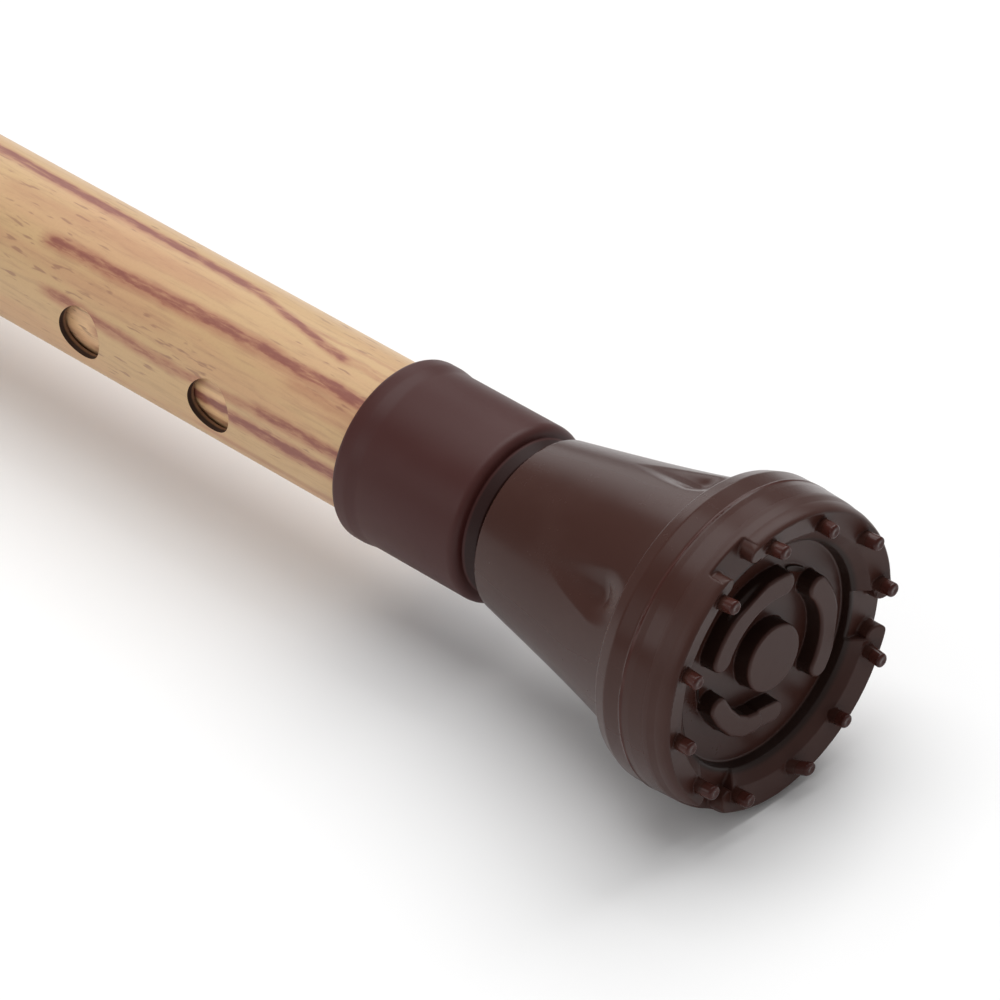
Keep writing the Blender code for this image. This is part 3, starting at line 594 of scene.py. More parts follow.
# Rubber tip. Heights are above the centre disc's face, turns are degrees from the -Y side.
# A profile gives from the disc, radius and, at a rounded corner, its round. A path gives radius and turn
tip = {
    "treadProfile": ((2.6, 0), (2.6, 15.75, 0.25), (1.15, 16.05, 0.30), (-0.51, 18.0, 0.35)),
    # The rim's crest: where it begins, how far it then goes down and out, and its steps
    "crest": (-1.30, 20.95, 2.1, 0.80, 10),
    "bandProfile": ((2.0, 21.95), (5.0, 22.1), (9.3, 22.1, 1.2), (11.6, 21.3, 0.7), (11.62, 19.58, 0.25)),
    "coneRows": (12.4, 41.2, 24),
    "socketProfile": ((41.7, 12.05), (41.7, 9.825), (12.0, 9.825), (12.0, 0)),
    "length": 41.7,
    "neckRadius": 12.55,
    "coneEndRadius": 19.6,
    "bandLength": 11.6,
    "profileBox": (-44.0, 5.5, 25.0),
    # Disc and ridges widen downwards by the draft
    "draft": 0.035,
    "rootFillet": 0.08,
    "discRadius": 4.85,
    "discRound": 0.35,
    "ridgeMiddle": 10.75,
    "ridgeHalfWidth": 1.65,
    "ridgeRound": 0.45,
    "ridgeSpans": ((16.7, 109.7), (132.7, 222.7)),
    "bentRidge": ((10.5, 345.5), (10.15, 332), (10.0, 316), (9.7, 302), (9.2, 291)),
    "bentHalfWidth": 1.5,
    "bentTail": ((8.85, 285), (8.75, 277), (8.95, 266.5)),
    "tailNarrower": 0.02,
    "tailDrop": 0.22,
    "tailRound": 0.30,
    # Place or path, half widths, depth (the stub's height), round and fillet
    "crescent": ((11.65, 121.5), (0.42, 2.1), 2.10, 0.10, 0.25),
    "sprue": (((11.65, 346), (11.85, 353), (11.9, 1)), 0.14, 2.28, 0.08, 0.10),
    "stub": (((17.7, 178.0), (19.1, 176.0)), 0.62, 0.95, 0.18, 0.12),
    # Turn and width of each notch; its outer corners flare
    "notches": ((67.4, 3.5), (187.2, 4.0), (308.0, 4.3)),
    "notchDepth": 1.25,
    "notchFrom": 12,
    "notchFlare": 1.6,
    "notchFlareAt": 19.6,
    "notchFloorRound": 0.30,
    "notchEdgeRound": 0.28,
    "ledgeHeight": 0.78,
    "pinRadius": 1.0,
    "pinHeight": 3.4,
    "pinFoot": -1.2,
    "pinTaper": 0.012,
    "pinCrown": 0.08,
    "pinCup": 0.16,
    "pinCupWidth": 0.42,
    "pinRound": 0.34,
    "pinFillet": 0.10,
    # Each pin stands in a shallow dimple
    "pinDimple": 0.22,
    "pinDimpleWidth": 1.6,
    "pinCircle": 19.15,
    "firstPin": 83.0,
    # How far each pin leans: outwards and along the rim
    "pinLeans": (
        (0.16, 0.43), (0.01, -0.30), (0.52, 0.70), (0.30, 0.10), (0.17, 0.67), (-1.09, -0.10),
        (-0.43, -1.85), (-0.45, 0.36), (-0.40, -0.88), (-0.02, -0.07), (0.27, -0.17), (0.12, 0.37),
    ),
    "partingAt": 6.35,
    "partingHeight": 0.16,
    "partingWidth": 0.17,
    "partingStray": 0.10,
    # Where round the band the parting line fades, and over how many degrees
    "partingGap": (12, 2.0),
    "scoopTurns": (32.7, 103.5, 212.7, 283.5),
    "scoopFrom": 17.5,
    "scoopDepth": 1.15,
    "scoopHalfWidth": 1.35,
    "scoopRamp": 3.0,
    "scoopWall": 56.0,
    "scoopCut": 2.2,
    "scoopFloorRound": 0.50,
    "scoopEdgeRound": 0.90,
    # Spans of the net: from, to and step, along and across
    "netAlong": ((-42.3, -23.5, 0.6), (-23.5, -12.2, 0.42), (-12.2, 3.9, 0.19)),
    "netAcross": (-23.0, 23.01, 0.19),
}


def coneRadius(along):
    share = (tip["length"] - along) / (tip["length"] - tip["bandLength"])
    rise = 0.88 * share + 0.12 * share**4
    return tip["neckRadius"] + (tip["coneEndRadius"] - tip["neckRadius"]) * rise


def tipOutline():
    outline = list(tip["treadProfile"])
    top, radius, down, out, steps = tip["crest"]
    for step in range(steps):
        swing = math.pi / 2 * (step + 0.5) / (steps - 0.5)
        outline.append((down * (1 - math.cos(swing)) + top, radius + out * math.sin(swing)))
    outline += tip["bandProfile"]
    outline += [(along, coneRadius(along)) for along in np.linspace(*tip["coneRows"])]
    outline += tip["socketProfile"]
    return outline


def profileDistance(outline, low, high, reach, step=0.05):
    # Signed distance to a turned outline, kept on a fine grid of (x, radius)
    xs = np.arange(low, high, step)
    rs = np.arange(0, reach, step)
    x, r = np.meshgrid(xs, rs, indexing="ij")
    nearest = np.full(x.shape, 1e9)
    inside = np.zeros(x.shape, bool)
    points = [(-along, radius) for along, radius in outline]
    for index, ((ax, ar), (bx, br)) in enumerate(zip(points, points[1:] + points[:1])):
        if index < len(points) - 1:
            dx, dr = bx - ax, br - ar
            share = np.clip(((x - ax) * dx + (r - ar) * dr) / (dx * dx + dr * dr), 0, 1)
            nearest = np.minimum(nearest, (x - ax - share * dx) ** 2 + (r - ar - share * dr) ** 2)
        if ax != bx:
            crosses = (ax > x) != (bx > x)
            inside ^= crosses & (r < ar + (x - ax) * (br - ar) / (bx - ax))
    table = np.where(inside, -1, 1) * np.sqrt(nearest)

    def distance(x, r):
        u = np.clip((x - low) / step, 0, len(xs) - 1.001)
        v = np.clip(r / step, 0, len(rs) - 1.001)
        i, j = u.astype(int), v.astype(int)
        u, v = u - i, v - j
        near = table[i, j] * (1 - u) + table[i + 1, j] * u
        far = table[i, j + 1] * (1 - u) + table[i + 1, j + 1] * u
        return near * (1 - v) + far * v

    return distance


def meet(a, b, k):
    # Both shapes at once, with a round of k along the edge
    a, b = a + k, b + k
    return np.minimum(np.maximum(a, b), 0) + np.hypot(np.maximum(a, 0), np.maximum(b, 0)) - k


def join(a, b, k):
    # Either shape, with a fillet of k in the corner
    u, v = np.maximum(k - a, 0), np.maximum(k - b, 0)
    return np.maximum(np.minimum(a, b), k) - np.hypot(u, v)


def polar(radius, turn):
    angle = np.radians(turn)
    return -radius * np.cos(angle), radius * np.sin(angle)


def towards(y, z, turn):
    # How far out in the direction of a turn, and how far beside that line
    angle = math.radians(turn)
    c, s = math.cos(angle), math.sin(angle)
    return z * s - y * c, y * s + z * c


def arcDistance(y, z, radius, start, end):
    r = np.hypot(y, z)
    turn = np.degrees(np.arctan2(z, -y))
    off = np.abs((turn - (start + end) / 2 + 180) % 360 - 180) - (end - start) / 2
    cap = r * r + radius * radius - 2 * r * radius * np.cos(np.radians(np.maximum(off, 0)))
    return np.where(off <= 0, np.abs(r - radius), np.sqrt(np.maximum(cap, 0)))


def pathDistance(y, z, path):
    nearest = np.full(y.shape, 1e9)
    places = [polar(*spot) for spot in path]
    for (ay, az), (by, bz) in zip(places, places[1:]):
        dy, dz = by - ay, bz - az
        share = np.clip(((y - ay) * dy + (z - az) * dz) / (dy * dy + dz * dz), 0, 1)
        nearest = np.minimum(nearest, np.hypot(y - ay - share * dy, z - az - share * dz))
    return nearest


def ridgesOn(solid, x, y, z):
    # The centre disc, two round ridges and the bent one with its lower tail
    draft = tip["draft"] * (-x)
    fillet = tip["rootFillet"]
    disc = meet(np.hypot(y, z) - tip["discRadius"] - draft, x, tip["discRound"])
    solid = join(solid, disc, fillet)
    half = tip["ridgeHalfWidth"]
    capTurn = math.degrees(half / tip["ridgeMiddle"])
    for start, end in tip["ridgeSpans"]:
        bar = arcDistance(y, z, tip["ridgeMiddle"], start + capTurn, end - capTurn) - half - draft
        solid = join(solid, meet(bar, x, tip["ridgeRound"]), fillet)
    bar = pathDistance(y, z, tip["bentRidge"]) - tip["bentHalfWidth"] - draft
    tail = pathDistance(y, z, tip["bentTail"]) - tip["bentHalfWidth"] + tip["tailNarrower"] - draft
    bent = meet(bar, x, tip["ridgeRound"])
    bent = np.minimum(bent, meet(tail, x + tip["tailDrop"], tip["tailRound"]))
    return join(solid, bent, fillet)


def flawsOn(solid, x, y, z):
    # A low crescent between two ridges, a thin sprue line and a torn stub beside a notch
    place, (width, length), depth, rounding, fillet = tip["crescent"]
    cy, cz = polar(*place)
    out, side = towards(y - cy, z - cz, place[1])
    moon = meet((np.hypot(out / width, side / length) - 1) * width, x + depth, rounding)
    moonReach = 4
    solid = np.where(np.hypot(out, side) < moonReach, join(solid, moon, fillet), solid)
    path, width, depth, rounding, fillet = tip["sprue"]
    solid = join(solid, meet(pathDistance(y, z, path) - width, x + depth, rounding), fillet)
    path, width, height, rounding, fillet = tip["stub"]
    stub = pathDistance(y, z, path) - width + 0.10 * np.sin(5 * y)
    top = x - height - 0.14 * np.sin(4 * z)
    return join(solid, meet(np.maximum(stub, -2 - x), top, rounding), fillet)


def notchesOn(solid, x, y, z):
    flare = tip["notchFlare"]
    for turn, gapWidth in tip["notches"]:
        out, side = towards(y, z, turn)
        beside = np.abs(side) - (gapWidth / 2 + flare)
        gap = np.maximum(beside, flare - np.hypot(beside, out - tip["notchFlareAt"]))
        gap = np.maximum(gap, tip["notchFrom"] - out)
        gap = meet(gap, -tip["notchDepth"] - x, tip["notchFloorRound"])
        solid = meet(solid, -gap, tip["notchEdgeRound"])
    return solid


def pinsOn(solid, x, y, z):
    # A pin has under half of its lean at the ledge and all of it at the top
    rise = np.clip((x - tip["ledgeHeight"]) / (tip["pinHeight"] - tip["ledgeHeight"]), -0.5, 1)
    share = 0.45 + 0.55 * rise
    pinReach = 3
    for index, (lean, slide) in enumerate(tip["pinLeans"]):
        angle = math.radians(tip["firstPin"] + 360 / len(tip["pinLeans"]) * index)
        radius = tip["pinCircle"] + lean * share
        shift = slide * share
        py = -radius * math.cos(angle) + shift * math.sin(angle)
        pz = radius * math.sin(angle) + shift * math.cos(angle)
        away = np.hypot(y - py, z - pz)
        stem = away - tip["pinRadius"] + tip["pinTaper"] * (x - tip["pinHeight"])
        crown = tip["pinCrown"] * away * away + tip["pinCup"] * np.exp(-((away / tip["pinCupWidth"]) ** 2))
        pin = meet(stem, x - tip["pinHeight"] + crown, tip["pinRound"])
        pin = np.maximum(pin, tip["pinFoot"] - x)
        solid = solid + tip["pinDimple"] * np.exp(-((away / tip["pinDimpleWidth"]) ** 2))
        solid = np.where(away < pinReach, join(solid, pin, tip["pinFillet"]), solid)
    return solid


def treadOn(solid, x, y, z):
    for feature in (ridgesOn, flawsOn, notchesOn, pinsOn):
        solid = feature(solid, x, y, z)
    return solid


def scoopsOn(solid, x, y, z):
    ramp = math.radians(tip["scoopRamp"])
    wall = math.radians(tip["scoopWall"])
    up = -x - tip["scoopFrom"]
    for turn in tip["scoopTurns"]:
        out, side = towards(y, z, turn)
        out = out - coneRadius(tip["scoopFrom"]) + tip["scoopDepth"]
        side = np.abs(side)
        length = math.cos(ramp) * up - math.sin(ramp) * out
        height = math.sin(ramp) * up + math.cos(ramp) * out
        across = np.where(length < 0, np.hypot(length, side), side)
        sides = (across - tip["scoopHalfWidth"] - height * math.tan(wall)) * math.cos(wall)
        pocket = meet(sides, -height, tip["scoopFloorRound"])
        pocket = np.maximum(pocket, height - tip["scoopCut"])
        solid = meet(solid, -pocket, tip["scoopEdgeRound"])
    return solid


def partingOn(solid, x, y, z):
    turn = np.arctan2(z, -y)
    gapAt, gapWidth = tip["partingGap"]
    height = tip["partingHeight"] * (0.75 + 0.25 * np.sin(7 * turn + 1.0) * np.sin(17 * turn))
    height = height * (1 - np.exp(-((np.degrees(turn) - gapAt) / gapWidth) ** 2))
    line = tip["partingAt"] + tip["partingStray"] * np.sin(3 * turn + 0.5)
    onBand = np.hypot(y, z) > 20
    return solid - height * np.exp(-((x + line) / tip["partingWidth"]) ** 2) * onBand


tipProfile = profileDistance(roundCorners(tipOutline(), 6), *tip["profileBox"])


def tipField(x, y, z):
    # Negative inside the rubber; each feature is worked out only where it can reach
    solid = tipProfile(x, np.hypot(y, z))
    reaches = ((x > -5.2, treadOn), (x < -9.5, scoopsOn), ((x < -5) & (x > -8), partingOn))
    for condition, feature in reaches:
        if condition.all():
            solid = feature(solid, x, y, z)
        elif condition.any():
            solid[condition] = feature(solid[condition], x[condition], y[condition], z[condition])
    return solid


# The field's slope is read over this many mm
netNudge = 0.02
cubeCorners = [(a, b, c) for a in (0, 1) for b in (0, 1) for c in (0, 1)]


def nudged(field, points, by):
    # The field beside the points, along each axis in turn
    readings = []
    for axis in range(3):
        moved = points.copy()
        moved[:, axis] += by
        readings.append(field(*moved.T.copy()))
    return np.stack(readings, 1)


def netPoints(field, values, cells, steps):
    # One point in each cell, in the middle of the surface's crossings of the cell's edges
    atCorner = {corner: values[tuple((cells + corner).T)] for corner in cubeCorners}
    total = np.zeros((len(cells), 3))
    crossed = np.zeros(len(cells))
    for corner in cubeCorners:
        for axis in range(3):
            if corner[axis]:
                continue
            other = tuple(1 if place == axis else entry for place, entry in enumerate(corner))
            first, second = atCorner[corner], atCorner[other]
            hit = (first < 0) != (second < 0)
            spot = np.array(corner, float)[None, :].repeat(len(cells), 0)
            spot[:, axis] = np.where(hit, first / np.where(hit, first - second, 1), 0)
            total += spot * hit[:, None]
            crossed += hit
    local = total / crossed[:, None]
    points = np.empty_like(local)
    for axis, places in enumerate(steps):
        index = cells[:, axis]
        points[:, axis] = places[index] + local[:, axis] * (places[index + 1] - places[index])

    # Then each moves onto the surface itself, by short steps where the field is flat
    flattest = 0.25
    farthest = 0.08
    for _ in range(2):
        here = field(*points.T.copy())
        slope = (nudged(field, points, netNudge) - here[:, None]) / netNudge
        length = np.maximum((slope**2).sum(1), flattest)
        points -= np.clip(here / length, -farthest, farthest)[:, None] * slope
    return points


def netFaces(inside, numbers):
    # One face on each grid edge that the surface crosses
    faces = []
    for axis in range(3):
        u, v = (axis + 1) % 3, (axis + 2) % 3
        edges = np.argwhere(np.diff(inside, axis=axis))
        outward = inside[tuple(edges.T)]
        quad = []
        for stepU, stepV in ((1, 1), (0, 1), (0, 0), (1, 0)):
            cell = edges.copy()
            cell[:, u] -= stepU
            cell[:, v] -= stepV
            quad.append(numbers[tuple(cell.T)])
        quad = np.stack(quad, 1)
        quad[~outward] = quad[~outward][:, ::-1]
        faces.append(quad)
    return np.concatenate(faces)


def netPiece(name, field, steps, *materials):
    # The grid has to reach past the surface on all sides
    gridY, gridZ = np.meshgrid(steps[1], steps[2], indexing="ij")
    values = np.empty([len(places) for places in steps], np.float32)
    for layer, x in enumerate(steps[0]):
        values[layer] = field(np.full(gridY.shape, x), gridY, gridZ)
    inside = values < 0
    count = np.zeros([size - 1 for size in inside.shape], np.int8)
    for a, b, c in cubeCorners:
        count += inside[a:a + count.shape[0], b:b + count.shape[1], c:c + count.shape[2]]
    cells = np.argwhere((count > 0) & (count < 8))
    numbers = np.full(count.shape, -1, np.int32)
    numbers[tuple(cells.T)] = np.arange(len(cells))
    points = netPoints(field, values, cells, steps)
    piece = addPiece(name, (points * mm).tolist(), netFaces(inside, numbers).tolist(), *materials)

    # The normals are the field's own slope
    slope = nudged(field, points, netNudge) - nudged(field, points, -netNudge)
    slope /= np.maximum(np.sqrt((slope**2).sum(1)), 1e-9)[:, None]
    piece.data.polygons.foreach_set("use_smooth", [True] * len(piece.data.polygons))
    piece.data.normals_split_custom_set_from_vertices(slope.astype(np.float32))
    return piece


def makeTip():
    along = np.concatenate([np.arange(*span) for span in tip["netAlong"]])
    across = np.arange(*tip["netAcross"])
    ferrule = netPiece("ferrule", tipField, (along, across, across), finishes["tipRubber"])
    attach(ferrule, "lower_section")
    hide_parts("rubber_tip")
    print("tip made:", len(ferrule.data.polygons), "faces")


makeTip()


# The grip's screw: its head, shank and point, its cross, and the holes for it
screw = {
    "headRadius": 3.1,
    "headRound": 0.85,
    "headHeight": 1.7,
    "shankRadius": 1.5,
    "pointLength": 1.5,
    "pointRadius": 0.5,
    "crossSize": (3.4, 1.6, 0.75),
    "crossDepth": 0.2,
    "crossTurn": 0.4,
    "holeRadius": 1.8,
    "seatRadius": 3.4,
    "seatGap": 0.3,
    "sides": 64,
}
screwLow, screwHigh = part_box("handle_screw")
screwAt = -(screwLow.x + screwHigh.x) / 2 / mm
drillLength = 8


# Tubes: the outer one has the row of adjustment holes, the inner one the button's hole
tubes = {
    "outerRadius": 11.11,
    "outerBore": 9.91,
    "outerFrom": 47.0,
    "innerRadius": 9.525,
    "innerBore": 8.325,
    "innerFrom": 13.8,
    "innerTo": 275.0,
    "holeRadius": 4.0,
    "firstHole": 92.8,
    "pitch": 25.4,
    "holes": 7,
    "edgeRound": 0.12,
    "rowSpacing": 6,
    "sides": 120,
}
outerTo = -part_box("upper_tube")[0].x / mm


def makeTube(name, start, end, outer, bore, finish, *drillings):
    rows = np.linspace(start, end, max(2, int((end - start) / tubes["rowSpacing"])))[1:-1]
    outline = [
        (start, outer, tubes["edgeRound"]),
        *((along, outer) for along in rows),
        (end, outer, tubes["edgeRound"]),
        (end, bore),
        *((along, bore) for along in reversed(rows)),
        (start, bore),
    ]
    tube = lathe(name, outline, tubes["sides"], finishes[finish], finishes["drilledEdge"])
    for bits, sides in drillings:
        drill(tube, bits, sides)
    markWalls(tube)
    smoothPiece(tube, 30)
    roundNormals(tube)
    return tube


def makeTubes():
    size = tubes
    radius, bore = size["outerRadius"], size["outerBore"]
    holePlaces = [size["firstHole"] + index * size["pitch"] for index in range(size["holes"])]
    holes = [(along, (radius + bore) / 2, size["holeRadius"], drillLength) for along in holePlaces]
    screwHole = (screwAt, -(radius + bore) / 2, screw["holeRadius"], drillLength)
    start = size["outerFrom"]
    outer = makeTube("outerTube", start, outerTo, radius, bore, "woodPrint", (holes, 64), ([screwHole], 32))
    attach(outer, "upper_section")
    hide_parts("upper_tube")

    radius, bore = size["innerRadius"], size["innerBore"]
    buttonHole = (holePlaces[-1], (radius + bore) / 2, size["holeRadius"], drillLength)
    start, end = size["innerFrom"], size["innerTo"]
    inner = makeTube("innerTube", start, end, radius, bore, "innerPrint", ([buttonHole], 64))
    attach(inner, "lower_section")
    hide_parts("lower_tube")
    print("tubes made")


makeTubes()


# Vinyl collar on the end of the outer tube. The profile gives from its lower end, radius and round:
# the nose, the shoulder, the bead at its upper end, then the bore and the lip that guides the inner tube
collar = {
    "from": 42.9,
    "profile": (
        (0, 10.5, 0.4), (1.8, 11.4, 0.25), (1.8, 12.95, 1.5),
        (20.1, 12.95, 6.0), (21.9, 13.23, 4.0), (24.5, 13.23, 0.9),
        (24.5, 11.41), (3.8, 11.41), (3.8, 9.725), (0, 9.725),
    ),
    "sides": 160,
}


def makeCollar():
    outline = [(collar["from"] + along, *rest) for along, *rest in collar["profile"]]
    sleeve = lathe("sleeve", outline, collar["sides"], finishes["collarVinyl"])
    smoothPiece(sleeve, 40)
    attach(sleeve, "upper_section")
    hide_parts("collar")
    print("collar made")


makeCollar()


# Snap button, riveted to its spring. Its foot is the flange and the rivet: height above the foot's end,
# radius and round
button = {
    "at": 245.2,
    "radius": 3.8,
    "round": 1.6,
    "foot": ((2.1, 3.8), (2.1, 4.6), (1.5, 4.6), (1.5, 1.8), (0.8, 1.8), (0.8, 2.8), (0, 2.8, 0.3), (0, 0)),
    "sides": 64,
}


def makeButton():
    low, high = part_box("button_head")
    top = -low.y / mm
    foot = -high.y / mm
    outline = [(-top, 0), (-top, button["radius"], button["round"])]
    outline += [(-(foot + height), *rest) for height, *rest in button["foot"]]
    knob = lathe("snapButton", outline, button["sides"], finishes["zincPlate"])
    turnUp = Matrix.Translation((-button["at"] * mm, 0, 0)) @ Matrix.Rotation(-math.pi / 2, 4, "Z")
    knob.data.transform(turnUp)
    smoothPiece(knob, 40)
    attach(knob, "snap_button")
    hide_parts("button_head")
    print("button made")


makeButton()


# Derby grip. Each section is its place along the grip, its rise, half height and half width
grip = {
    "sections": (
        (47.0, -7.5, 5.0, 4.5),
        (42.5, -6.0, 9.8, 8.8),
        (30.0, -2.8, 13.8, 12.4),
        (16.0, -1.2, 13.4, 12.4),
        (0.0, 0.0, 13.6, 13.0),
        (-16.0, 1.0, 14.2, 13.8),
        (-35.0, 1.4, 14.6, 14.2),
        (-55.0, 0.4, 13.6, 13.8),
        (-70.0, -1.8, 11.2, 11.8),
        (-76.5, -3.6, 6.2, 6.6),
    ),
    "caneLength": 762.0,
    "sides": 8,
    "levels": 4,
    "stemSection": 4,
    # Depth and diameter down the stem, which is cut off at stemDepth
    "stemRings": ((20.0, 31.8), (36.0, 28.8), (56.0, 28.8)),
    "stemDepth": 46.0,
    "socketRadius": 11.41,
    "socketLength": 22.0,
    # Under the ring the stem is thinner: over what length, and its radius there
    "rebate": (10.0, 13.6),
    # The ring's profile from the stem's end, with its groove
    "ring": (
        (0, 14.8, 0.3), (2.2, 14.8), (2.5, 14.68), (2.8, 14.8),
        (9.7, 14.8, 0.3), (9.7, 13.9), (0, 13.9),
    ),
    "ringSides": 120,
}
gripAt = grip["caneLength"] - max(rise + halfHeight for _, rise, halfHeight, _ in grip["sections"])
stemEnd = gripAt - grip["stemDepth"]


def bridge(cage, first, second, skip=()):
    for side in range(len(first)):
        after = (side + 1) % len(first)
        if side not in skip:
            cage.faces.new((first[side], first[after], second[after], second[side]))


def gripCage():
    sides = grip["sides"]
    # Subdividing shrinks a ring of this many sides, so its corners stand further out
    swell = 3 / (2 + math.cos(math.tau / sides))
    cage = bmesh.new()
    rings = []
    for along, rise, halfHeight, halfWidth in grip["sections"]:
        ring = []
        for side in range(sides):
            angle = math.tau * side / sides
            height = rise + halfHeight * swell * math.sin(angle)
            ring.append(cage.verts.new((along * mm, halfWidth * swell * math.cos(angle) * mm, height * mm)))
        rings.append(ring)
    # The underside stays open where the stem begins
    bottom = sides * 3 // 4
    stem = grip["stemSection"]
    for index, (ring, following) in enumerate(zip(rings, rings[1:])):
        bridge(cage, ring, following, (bottom - 1, bottom) if index in (stem - 1, stem) else ())
    cage.faces.new(rings[0])
    cage.faces.new(rings[-1])
    front = [rings[stem - 1][bottom + step] for step in (-1, 0, 1)]
    rear = [rings[stem + 1][bottom + step] for step in (1, 0, -1)]
    loop = [*front, rings[stem][bottom + 1], *rear, rings[stem][bottom - 1]]
    for depth, diameter in grip["stemRings"]:
        reach = diameter / 2 * swell * mm
        ring = []
        for corner in loop:
            angle = round(math.atan2(corner.co.y, corner.co.x) / (math.tau / sides)) * math.tau / sides
            ring.append(cage.verts.new((reach * math.cos(angle), reach * math.sin(angle), -depth * mm)))
        bridge(cage, loop, ring)
        loop = ring
    cage.faces.new(loop)
    loose = [corner for corner in cage.verts if not corner.link_faces]
    bmesh.ops.delete(cage, geom=loose, context="VERTS")
    bmesh.ops.recalc_face_normals(cage, faces=cage.faces)
    return cage


def makeHandle():
    handle = pieceFrom("gripHandle", gripCage(), finishes["gripPlastic"])
    soften = handle.modifiers.new("soften", "SUBSURF")
    soften.levels = grip["levels"]
    soften.render_levels = grip["levels"]
    takeModified(handle)
    upright = Euler((0, -math.pi / 2, 0)).to_matrix() @ Euler((0, 0, -math.pi / 2)).to_matrix()
    handle.data.transform(Matrix.Translation((-gripAt * mm, 0, 0)) @ upright.to_4x4())

    # The cut ends the stem, thins it under the ring and bores its socket
    clear = 45.0
    socketEnd = stemEnd + grip["socketLength"]
    length, rebate = grip["rebate"]
    outline = [
        (stemEnd - clear, 0), (stemEnd - clear, clear), (stemEnd + length, clear), (stemEnd + length, rebate),
        (stemEnd, rebate), (stemEnd, grip["socketRadius"]), (socketEnd, grip["socketRadius"]), (socketEnd, 0),
    ]
    cutWith(handle, lathe("stemCut", outline, 96))
    # The screw's seat opens outwards from its floor, and its hole goes on inwards
    seat = screwHigh.y / mm - screw["headHeight"] - screw["seatGap"]
    drill(handle, [(screwAt, -(seat + 10), screw["seatRadius"], 20)], 48)
    drill(handle, [(screwAt, -(seat - 2), screw["holeRadius"], drillLength)], 48)
    smoothPiece(handle, 35)
    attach(handle, "upper_section")
    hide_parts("handle")


def makeBand():
    outline = [(stemEnd + along, *rest) for along, *rest in grip["ring"]]
    band = lathe("gripBand", outline, grip["ringSides"], finishes["brassBand"])
    smoothPiece(band, 40)
    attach(band, "upper_section")
    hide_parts("handle_ring")


def makeScrew():
    top = screwHigh.y / mm
    foot = screwLow.y / mm
    neck = top - screw["headHeight"]
    outline = [
        (-top, 0),
        (-top, screw["headRadius"], screw["headRound"]),
        (-neck, screw["headRadius"]),
        (-neck, screw["shankRadius"]),
        (-(foot + screw["pointLength"]), screw["shankRadius"]),
        (-foot, screw["pointRadius"]),
        (-foot, 0),
    ]
    piece = lathe("gripScrew", outline, screw["sides"], finishes["zincPlate"])
    piece.data.transform(Matrix.Translation((-screwAt * mm, 0, 0)) @ Matrix.Rotation(math.pi / 2, 4, "Z"))
    # The cross is cut one bar at a time, since a cutter may not overlap itself
    size = Matrix.Diagonal((*(length * mm for length in screw["crossSize"]), 1))
    for turn in (screw["crossTurn"], screw["crossTurn"] + math.pi / 2):
        place = Matrix.Translation((-screwAt * mm, (top - screw["crossDepth"]) * mm, 0))
        bar = bmesh.new()
        bmesh.ops.create_cube(bar, size=1.0, matrix=place @ Matrix.Rotation(turn, 4, "Y") @ size)
        cutWith(piece, pieceFrom("crossCut", bar))
    smoothPiece(piece, 35)
    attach(piece, "upper_section")
    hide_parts("handle_screw")


makeHandle()
makeBand()
makeScrew()
print("grip made")


# Inner pieces keep their solids and take a better finish
carried = {
    "tip_washer": ("zincPlate", "plated_steel"),
    "top_guide": ("nylonBush", "natural_nylon"),
    "handle_plug": ("nylonBush", "natural_nylon"),
    "button_spring": ("bluedSpring", "spring_steel"),
}
for node, (finishName, slotName) in carried.items():
    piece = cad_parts[node]
    for entry in piece.material_slots:
        entry.material = finishes[finishName]
print("inner pieces finished")


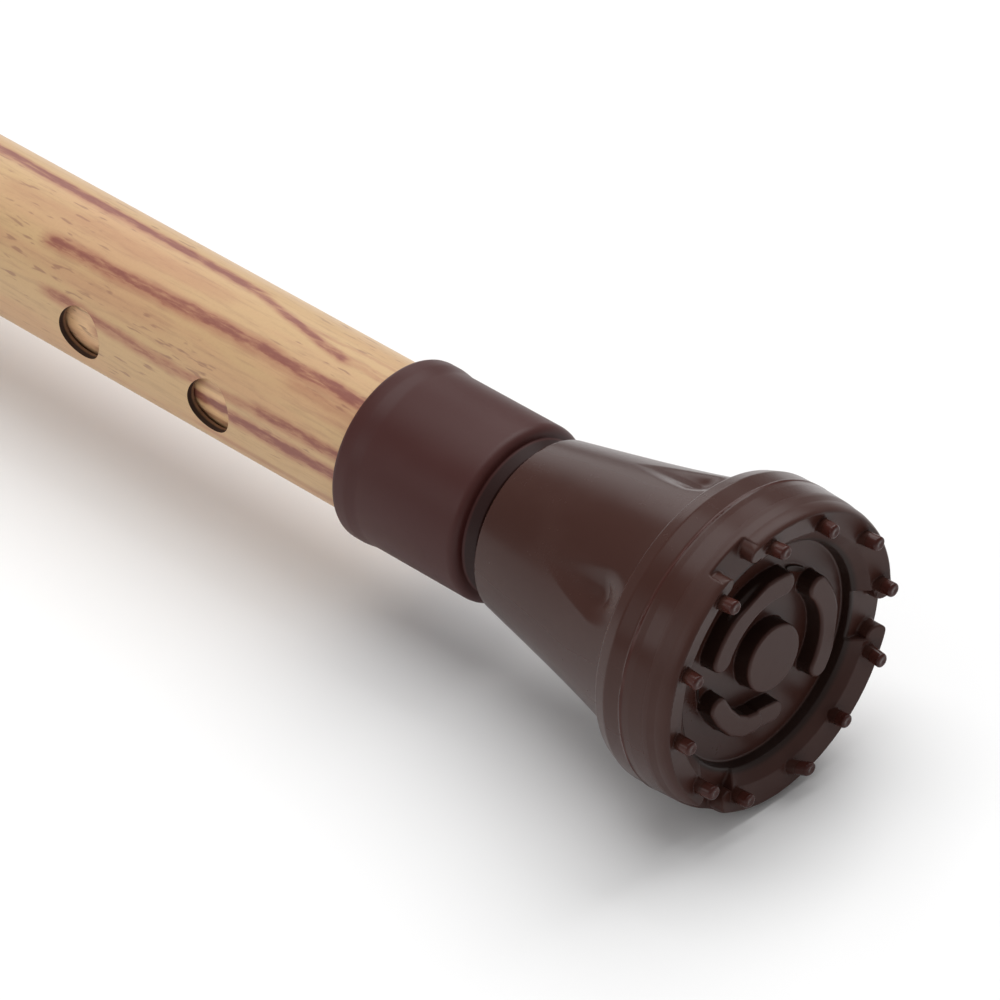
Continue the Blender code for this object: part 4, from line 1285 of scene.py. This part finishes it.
# Floor, lights and sky, in metres
floorSettings = {
    "color": (0.92, 0.92, 0.92),
    "fainter": 0.985,
    "roughness": 0.9,
    "corners": ((-30, -30), (30, -30), (30, 30), (-30, 30)),
    "clearance": 0.0001,
}
lightSettings = {
    # name: place, width, height, power
    "overhead": ((-0.45, -0.05, 1.78), 1.3, 1.3, 14.9),
    "behind": ((-0.28, 1.03, 1.52), 1.2, 1.2, 16.5),
    "low": ((-1.45, 0.92, 0.62), 0.9, 0.65, 2.6),
    "side": ((-0.5, -1.6, 0.7), 1.0, 0.8, 4.9),
}
lightAim = (-0.1, 0, 0)
skySettings = {"color": (1.0, 1.0, 1.0), "strength": 0.38}


def lowestTouch():
    # The cane lies on its tip's band and on the side of its grip
    spots = []
    for name in ("ferrule", "gripHandle"):
        corners = bpy.data.objects[name].data.vertices
        places = np.empty(len(corners) * 3, np.float32)
        corners.foreach_get("co", places)
        spots.append(places.reshape(-1, 3))
    tipLow, gripLow = (places[places[:, 2].argmin()] for places in spots)
    slope = (gripLow[2] - tipLow[2]) / (gripLow[0] - tipLow[0])
    every = np.concatenate(spots)
    level = (every[:, 2] - slope * every[:, 0]).min()
    return float(slope), float(level) - floorSettings["clearance"]


def makeFloor(settings):
    slope, level = lowestTouch()
    corners = [(x, y, level + slope * x) for x, y in settings["corners"]]
    finish, shader = newFinish("paleFloor")
    shade = tuple(entry * settings["fainter"] for entry in settings["color"])
    color = blendColors(grain((3, 3, 3), detail=1.0), settings["color"], shade)
    link(color, shader.inputs["Base Color"])
    shader.inputs["Roughness"].default_value = settings["roughness"]
    floor = addPiece("floor", corners, [(0, 1, 2, 3)], finish)


def makeLights():
    for name, (place, width, height, power) in lightSettings.items():
        lamp = bpy.data.lights.new(name, "AREA")
        lamp.shape = "RECTANGLE"
        lamp.size = width
        lamp.size_y = height
        lamp.energy = power
        holder = bpy.data.objects.new(name, lamp)
        holder.location = place
        holder.rotation_euler = (Vector(place) - Vector(lightAim)).to_track_quat("Z", "Y").to_euler()
        holder.visible_camera = False
        scene.collection.objects.link(holder)
    world = bpy.data.worlds.new("sky")
    world.use_nodes = True
    backdrop = world.node_tree.nodes["Background"]
    backdrop.inputs[0].default_value = (*skySettings["color"], 1)
    backdrop.inputs[1].default_value = skySettings["strength"]
    scene.world = world
    scene.view_settings.view_transform = "Standard"


makeFloor(floorSettings)
makeLights()
print("floor and lights placed")
